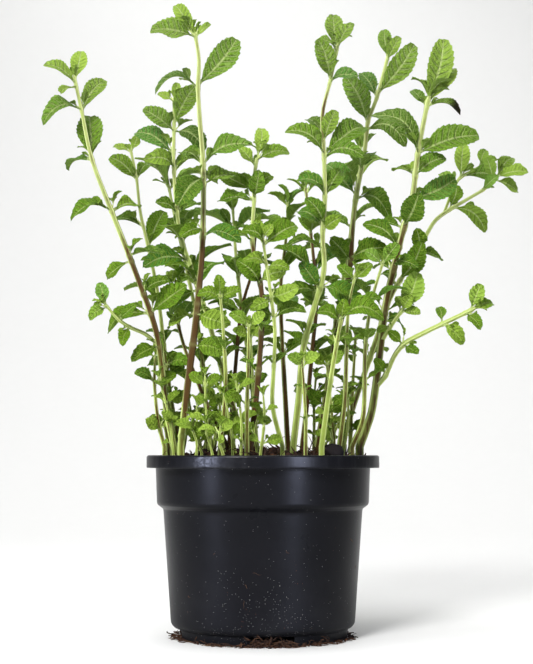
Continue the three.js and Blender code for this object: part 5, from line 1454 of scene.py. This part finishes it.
def grow_shoots(owner, part, room, dice, wanted):
    """Young shoots in the leaves' axils and the bud at the stem's tip"""
    shoots, stalks = [], []
    trace = part.trace
    headings = np.gradient(trace.at, axis=0)
    for leaf in part.leaves:
        if leaf.length < SHORTEST_WITH_SHOOT or dice.random() > wanted:
            continue
        heading = unit(headings[leaf.index])
        way = unit(heading * 0.9 + leaf.along * 0.75)
        way = unit(way + np.cross(heading, leaf.along) * dice.uniform(-0.3, 0.3))
        reach = dice.uniform(*SHOOT_REACH)
        size = leaf.length * dice.uniform(*SHOOT_SIZES)
        start = trace.at[leaf.index]
        end = start + way * (trace.width[leaf.index] + reach)
        across = unit(np.cross(way, leaf.along + np.array([0.01, 0.02, 0.03])))
        leaves = []
        for sign in (1, -1):
            out = unit(way * 0.75 + across * sign * 0.75 + leaf.along * 0.1)
            leaves.append(young_leaf(end, 0.5, out, size, heading - across * sign * 0.6, dice))
        leaves.append(young_leaf(end, 0.4, way + leaf.along * 0.25, size * 0.55, heading, dice))
        kept = []
        for small in leaves:
            at, near = small.samples()
            if room.clear(at, near | True, owner, SHOOT_ROOM):
                room.add("leaf", at, 0, owner, True)
                kept.append(small)
        if kept:
            shoots += kept
            stalks.append(np.linspace(start, end, 5))
    tip = trace.at[-1]
    heading = unit(headings[-1])
    first = unit(np.cross(heading, [0.3, 1, 0.1]))
    second = np.cross(heading, first)
    for level, (size, lean) in enumerate(BUD_LEAVES):
        axis = second if level % 2 else first
        for sign in (1, -1):
            way = heading + axis * sign * lean
            root = tip + heading * (0.8 + 0.5 * level)
            bud = young_leaf(root, 0.3, way, size * dice.uniform(*BUD_SIZES), heading - axis * sign, dice)
            bud.tone = dice.uniform(*BUD_TONES)
            shoots.append(bud)
    return shoots, stalks


def make_stem(part, brown):
    """The fine stem: a grooved square rod with swollen joints where the pairs of leaves grow"""
    at, width = part.trace.at, part.trace.width
    heights = [*part.trace.seen[:, 1], part.trace.seen[-1, 1]]
    shift = 0
    if part.rooted:
        at = np.vstack([[at[0][0], at[0][1], STEM_FOOT], at])
        width = np.concatenate([[width[0] * 1.05], width])
        heights.insert(0, STEM_FOOT)
        shift = 1
    end = at[-1] + unit(at[-1] - at[-2]) * BUD_LENGTH
    at, width = np.vstack([at, end]), np.concatenate([width, [width[-1] * 0.55]])
    far = np.concatenate([[0], np.cumsum(np.linalg.norm(np.diff(at, axis=0), axis=1))])
    joints = sorted({round(float(far[leaf.index + shift]), 1) for leaf in part.leaves})
    rings = [*np.arange(0, far[-1], 3.4), far[-1]]
    rings += [joint + step for joint in joints for step in KNOT_RINGS]
    rings = sorted(ring for ring in rings if 0 <= ring <= far[-1])
    kept = [rings[0]]
    for ring in rings[1:]:
        if ring - kept[-1] > 0.45:
            kept.append(ring)
    rings = np.array([kept[0], *kept, kept[-1]])
    path = np.column_stack([np.interp(rings, far, at[:, axis]) for axis in range(3)])
    for end_ring, sign in ((0, -1), (-1, 1)):
        path[end_ring] += sign * 0.02 * unit(path[-2] - path[-3])
    knot = np.zeros(len(rings))
    for joint in joints:
        knot = np.maximum(knot, np.exp(-((rings - joint) / 1.3) ** 2))
    radii = np.interp(rings, far, width) * (1 + KNOT_SWELL * knot) * (1 - 0.14 * (rings / far[-1]) ** 2)
    radii[[0, -1]] = 0
    made, ring, angle = rod("stem", path, radii, STEM_SIDES, square=True)
    heights = np.interp(rings, far, heights)
    levels, amounts = zip(*brown)
    painted_shade_flank = PAINTED_SHADE_SIDE * np.cos(angle + 0.6)  # painted shade: browner on the right, the side away from the key light
    # The brown attribute holds the stem's listed browning plus the painted shade on its right side
    set_attributes(
        made, brown=np.interp(heights, levels, amounts)[ring] + painted_shade_flank,
        pale=np.interp(heights, (120, 260), (0, 1))[ring] if part.rooted else 0.6,
        knot=knot[ring], ridge=-np.cos(4 * angle))
    return made


def leaf_finish(look):
    """Mint leaf: mottled green, pale veins and net, quilting with painted shade in its valleys, and a
    paler underside
    """
    f = Finish("mint_leaf", Specular_IOR_Level=0.05)
    spot = f.places()
    across, vein = abs(f.attribute("across")), f.attribute("vein")
    tone, under = f.attribute("tone"), f.attribute("under")
    rib = f.smooth(across * (0.6 + 1.2 * f.attribute("along")), 0.15, 0.05)
    mottle = f.noise(spot, scale=170, detail=4, rough=0.6)
    cloud = f.noise(spot, scale=30, detail=2, rough=0.5)
    from_vein = f.node("Math", {"operation": "PINGPONG"}, {0: vein + (mottle - 0.5) * 0.5, 1: 0.5})
    side = f.smooth(from_vein, 0.17, 0.03) * f.smooth(across, 1.0, 0.6)
    coarse = f.cells(spot, 560, "Distance", feature="DISTANCE_TO_EDGE")
    fine = f.cells(spot, 1300, "Distance", feature="DISTANCE_TO_EDGE")
    net = f.smooth(coarse, 0.22, 0.01)
    mesh = f.smooth(fine, 0.20, 0.02)
    firm = 1 - 0.8 * f.smooth(tone, 0.3, 0.9)
    shade = tone + ((mottle - 0.5) * 0.7 + (cloud - 0.5) * 0.6) * firm
    base = f.mix(f.smooth(shade, -1, 0.05), look.dark, look.green)
    base = f.mix(f.smooth(shade, 0, 1), base, look.light)
    base = f.mix(f.attribute("blue") * 0.8, base, look.blue)
    # Painted shade: darker in the quilted valleys beside the side veins and in the middle of the net's
    # cells
    valley_shade = f.smooth(from_vein, 0.40, 0.08) * f.smooth(across, 1.0, 0.7)
    cell_shade = f.smooth(coarse, 0.22, 0.5)
    quilt_shade = (valley_shade * 0.6 + cell_shade * 0.2) * (1 - under) * firm
    base = f.mix(quilt_shade, base, f.mix(0.85, base, look.dark))
    base = f.mix(under * 0.6 * (0.4 + 0.6 * firm), base, look.under)
    up = f.axis(spot, "Z")
    lines = (side * 0.5 + net * 0.28 + mesh * 0.06) * firm
    base = f.mix(lines, base, f.mix(f.smooth(up, 0.22, 0.32), look.net, look.vein))
    base = f.mix(rib * 0.9, base, f.mix(f.smooth(up, 0.12, 0.23), look.net, look.vein))
    base = f.mix(f.smooth(vein, -8, -9), base, look.vein)
    dry = f.smooth(f.attribute("wither") + mottle * 0.3, 0.65, 0.95)
    f.set("Base Color", f.mix(dry, base, look.dry))
    f.set("Roughness", 0.34 + 0.2 * mottle + 0.12 * under + 0.05 * net)
    grooves = net * 0.5 + mesh * 0.18 + side * 1.0 + rib * 0.5
    relief = mottle * 0.8 - grooves * (1 - 1.8 * under) * (0.3 + 0.7 * firm)
    f.bump(relief, strength=1.0, distance=0.0011)
    glow = f.node("BsdfTranslucent", {}, {"Color": look.glow})
    solid = Value(f, f.principled.outputs[0])
    shader = f.node("MixShader", {}, {0: 0.16, 1: solid, 2: glow})
    f.put(f.tree.nodes["Material Output"].inputs["Surface"], shader)
    return f.material


def stem_finish(look):
    """Mint stem: olive low down and pale above, red-brown in stretches, with light ridges and painted
    shade in the grooves between them
    """
    f = Finish("mint_stem", Specular_IOR_Level=0.04)
    spot = f.places()
    streak = f.noise(f.scaled(spot, (1, 1, 0.05)), scale=800, detail=3, rough=0.6)
    patch = f.noise(f.scaled(spot, (1, 1, 0.3)), scale=110, detail=3, rough=0.6)
    # Painted shade: darker and browner in the grooves between the ridges, broken up by real lengthwise
    # streaks
    groove_shade = f.smooth(f.attribute("ridge") + (streak - 0.5) * 1.6, 0.7, -0.3)
    pale = f.attribute("pale")
    base = f.mix(pale, look.stem, look.pale)
    base = f.mix(groove_shade * (0.8 - 0.25 * pale), base, look.groove_shade)
    # The brown attribute carries the stem's own browning and the painted shade of its right side
    brown = f.attribute("brown") + (patch - 0.5) * 0.8 + (streak - 0.5) * 0.8 + groove_shade * 0.4 - 0.25
    base = f.mix(f.smooth(brown, 0.2, 0.9) * 0.95, base, look.brown)
    f.set("Base Color", f.mix(f.attribute("knot") * 0.12, base, look.vein))
    f.set("Roughness", 0.42 + 0.2 * patch)
    f.bump(streak, strength=0.5, distance=0.0002)
    return f.material


def grow_sprig(room, owner, dice, peat_look):
    """A thin young sprig between the stems, where there is room for it"""
    for _ in range(SPRIG_TRIES):
        crowded = dice.random() < 0.65
        angle = dice.gauss(SPRIG_ANGLE, SPRIG_SPREAD) if crowded else dice.uniform(-180, 180)
        reach = SPRIG_CIRCLE * math.sqrt(dice.uniform(0.15, 1))
        x, y = around(reach, math.radians(angle))
        lean = dice.uniform(*SPRIG_LEANS)
        high = dice.uniform(*SPRIG_HEIGHTS)
        route = []
        for k in range(4):
            part = k / 3
            out = 1 + lean * part * high / max(reach, 20)
            bend = 1.5 * math.sin(3 * part + x)
            route.append((x * out + bend, peat_height(x, y, peat_look) + 2 + high * part, y * out))
        half = dice.uniform(*SPRIG_HALF_WIDTHS)
        sprig = Part(route, half, half * 0.7, [], True)
        at = sprig.trace.at
        over_peat = np.maximum(at, [-999, -999, LOWEST_LEAF])
        near = np.zeros(len(at), bool)
        if np.hypot(at[0][0], at[0][1]) > SPRIG_LIMIT:
            continue
        if not room.clear(over_peat, near, owner, SPRIG_STEM_ROOM):
            continue
        room.add("stem", at, sprig.trace.width, owner, False)
        turn, low = dice.uniform(0, 360), route[0][1]
        height = low + dice.uniform(5, 9)
        while height < low + high + 0.5:
            for side in (0, 180):
                azimuth = math.radians(turn + side + dice.uniform(-15, 15))
                size = dice.uniform(*SPRIG_LEAF_SIZES) * (0.75 + 0.25 * (height - low) / high)
                rise = math.radians(dice.uniform(*SPRIG_LEAF_RISES))
                facing, bow, tone = dice.uniform(0.2, 0.8), dice.uniform(0.5, 1.5), dice.uniform(0.3, 1.0)
                row = leaf_row(height, size, rise, azimuth, size * 0.5, facing, bow)
                leaf, step = listed_leaf(sprig.trace, row)
                samples, near = leaf.samples()
                if room.clear(samples, near, owner, SPRIG_LEAF_ROOM):
                    room.add("leaf", samples, 0, owner, near)
                    leaf.index, leaf.tone, leaf.blue = step, tone, 0
                    sprig.leaves.append(leaf)
            turn += 90
            height += dice.uniform(*SPRIG_SPACINGS)
        return sprig
    return None


def make_foliage(look, peat_look):
    """Every leafy stem with its leaves and shoots, and the young sprigs between them"""
    plants, room = grow_plants()
    leaf_material, stem_material = leaf_finish(look), stem_finish(look)
    dice = random.Random(23)

    def leafy_piece(owner, parts, brown, name):
        leaves, rods = [], []
        for part in parts:
            top = part.trace.seen[-1][1]
            shoots, stalks = grow_shoots(owner, part, room, dice, look.shoots)
            for leaf in part.leaves:
                choose_tone(leaf, dice, part.trace.seen[leaf.index][1] / top)
            leaves += part.leaves + shoots
            rods.append(make_stem(part, brown if part.rooted else [(0, 0.0)]))
            for path in stalks:
                stalk, *_ = rod("stalk", path, STALK_TAPER, 6, reference=(0.3, 0.9, 0.1))
                set_attributes(stalk, brown=0.0, pale=0.4, ridge=0.5)
                rods.append(stalk)
        body = welded(joined(rods, "stems"))
        body.data.materials.append(stem_material)
        blades = [make_blade(leaf, dice, look.blade / MM) for leaf in leaves]
        for blade in blades:
            blade.data.materials.append(leaf_material)
        return joined([body, *blades], name)

    for owner, stem, parts in plants:
        piece = leafy_piece(owner, parts, stem.brown, "leafy_" + stem.name)
        finish_piece(piece, None, ["stem_" + stem.name])
    for i in range(look.sprigs):
        owner = len(plants) + i
        sprig = grow_sprig(room, owner, dice, peat_look)
        if sprig:
            finish_piece(leafy_piece(owner, [sprig], [(100, 0.1)], f"sprig_{i}"))


# The stage

def make_stage(look):
    """A pale floor that bends up behind, soft lights and the camera"""
    floor = added(bpy.ops.mesh.primitive_plane_add, size=1, location=FLOOR_PLACE)
    floor.name = "backdrop"
    floor.scale = FLOOR_SIZE
    settle(floor)
    bpy.ops.object.mode_set(mode="EDIT")
    bpy.ops.mesh.select_all(action="DESELECT")
    bpy.ops.object.mode_set(mode="OBJECT")
    for edge in floor.data.edges:
        edge.select = all(floor.data.vertices[v].co.y > 2 for v in edge.vertices)
    bpy.ops.object.mode_set(mode="EDIT")
    bpy.ops.mesh.extrude_region_move(TRANSFORM_OT_translate={"value": (0, 0, BACK_HEIGHT)})
    bpy.ops.object.mode_set(mode="OBJECT")
    modify(floor, "BEVEL", width=BACK_BEND, segments=24, limit_method="ANGLE")
    bpy.ops.object.shade_smooth()
    f = Finish("paper_backdrop", Roughness=0.9, Specular_IOR_Level=0.2)
    grain = f.noise(f.places(), scale=60, detail=2, rough=0.5)
    f.set("Base Color", f.mix(grain, look.floor, times(look.floor, 1.02)))
    floor.data.materials.append(f.material)

    world = bpy.data.worlds.new("studio")
    bpy.context.scene.world = world
    world.use_nodes = True
    sky = world.node_tree.nodes["Background"].inputs
    sky["Color"].default_value = (*look.sky, 1)
    sky["Strength"].default_value = SKY_STRENGTH

    for name, location, aim, size, power, mirrored in LIGHTS:
        light = added(bpy.ops.object.light_add, type="AREA", location=location)
        light.name = name
        light.data.shape = "RECTANGLE"
        light.data.size, light.data.size_y = size
        light.data.energy = look.key * power
        if mirrored:
            light.data.color = look.cool
            light.visible_diffuse = light.visible_transmission = False
        way = Vector(aim) - Vector(location)
        light.rotation_euler = way.to_track_quat("-Z", "Y").to_euler()

    camera = added(
        bpy.ops.object.camera_add, location=(EYE_ACROSS * MM, -look.distance, look.height),
        rotation=(math.pi / 2 + EYE_TILT, 0, 0))
    camera.data.lens = look.lens
    camera.data.sensor_width = 36
    camera.data.clip_start = 0.01
    bpy.context.scene.camera = camera
    bpy.context.scene.view_settings.view_transform = "Standard"


# Operators, panel and run

class MINT_OT_stage(bpy.types.Operator):
    """Adds the floor, the lights and the camera"""
    bl_idname = "mint.stage"
    bl_label = "Stage"

    def execute(self, context):
        make_stage(context.scene.mint_stage)
        return {"FINISHED"}


class MINT_OT_pot(bpy.types.Operator):
    """Adds the nursery pot with its rim, step, foot ring, notches and drain holes"""
    bl_idname = "mint.pot"
    bl_label = "Pot"

    def execute(self, context):
        make_pot(context.scene.mint_pot)
        return {"FINISHED"}


class MINT_OT_peat(bpy.types.Operator):
    """Adds the peat with its clods, fibres, twigs and roots"""
    bl_idname = "mint.peat"
    bl_label = "Peat"

    def execute(self, context):
        make_peat(context.scene.mint_peat)
        return {"FINISHED"}


class MINT_OT_foliage(bpy.types.Operator):
    """Adds every leafy stem with its leaves and young shoots"""
    bl_idname = "mint.foliage"
    bl_label = "Leafy stems"

    def execute(self, context):
        make_foliage(context.scene.mint_leaf, context.scene.mint_peat)
        return {"FINISHED"}


class MINT_PT_build(bpy.types.Panel):
    """Lists the pieces of the pot of mint"""
    bl_idname = "MINT_PT_build"
    bl_label = "Pot of mint"
    bl_space_type = "VIEW_3D"
    bl_region_type = "UI"
    bl_category = "Mint"

    def draw(self, context):
        for step in STEPS:
            self.layout.operator(step.bl_idname)


STEPS = (MINT_OT_stage, MINT_OT_pot, MINT_OT_peat, MINT_OT_foliage)
LOOKS = {"mint_pot": PotLook, "mint_peat": PeatLook, "mint_leaf": LeafLook, "mint_stage": StageLook}
CLASSES = (*LOOKS.values(), *STEPS, MINT_PT_build)


def register():
    for made in CLASSES:
        bpy.utils.register_class(made)
    for name, made in LOOKS.items():
        setattr(bpy.types.Scene, name, bpy.props.PointerProperty(type=made))


def unregister():
    for name in LOOKS:
        delattr(bpy.types.Scene, name)
    for made in reversed(CLASSES):
        bpy.utils.unregister_class(made)


def main():
    register()
    bpy.ops.mint.stage()
    bpy.ops.mint.pot()
    bpy.ops.mint.peat()
    bpy.ops.mint.foliage()
    clear_templates()


if __name__ == "__main__":
    main()
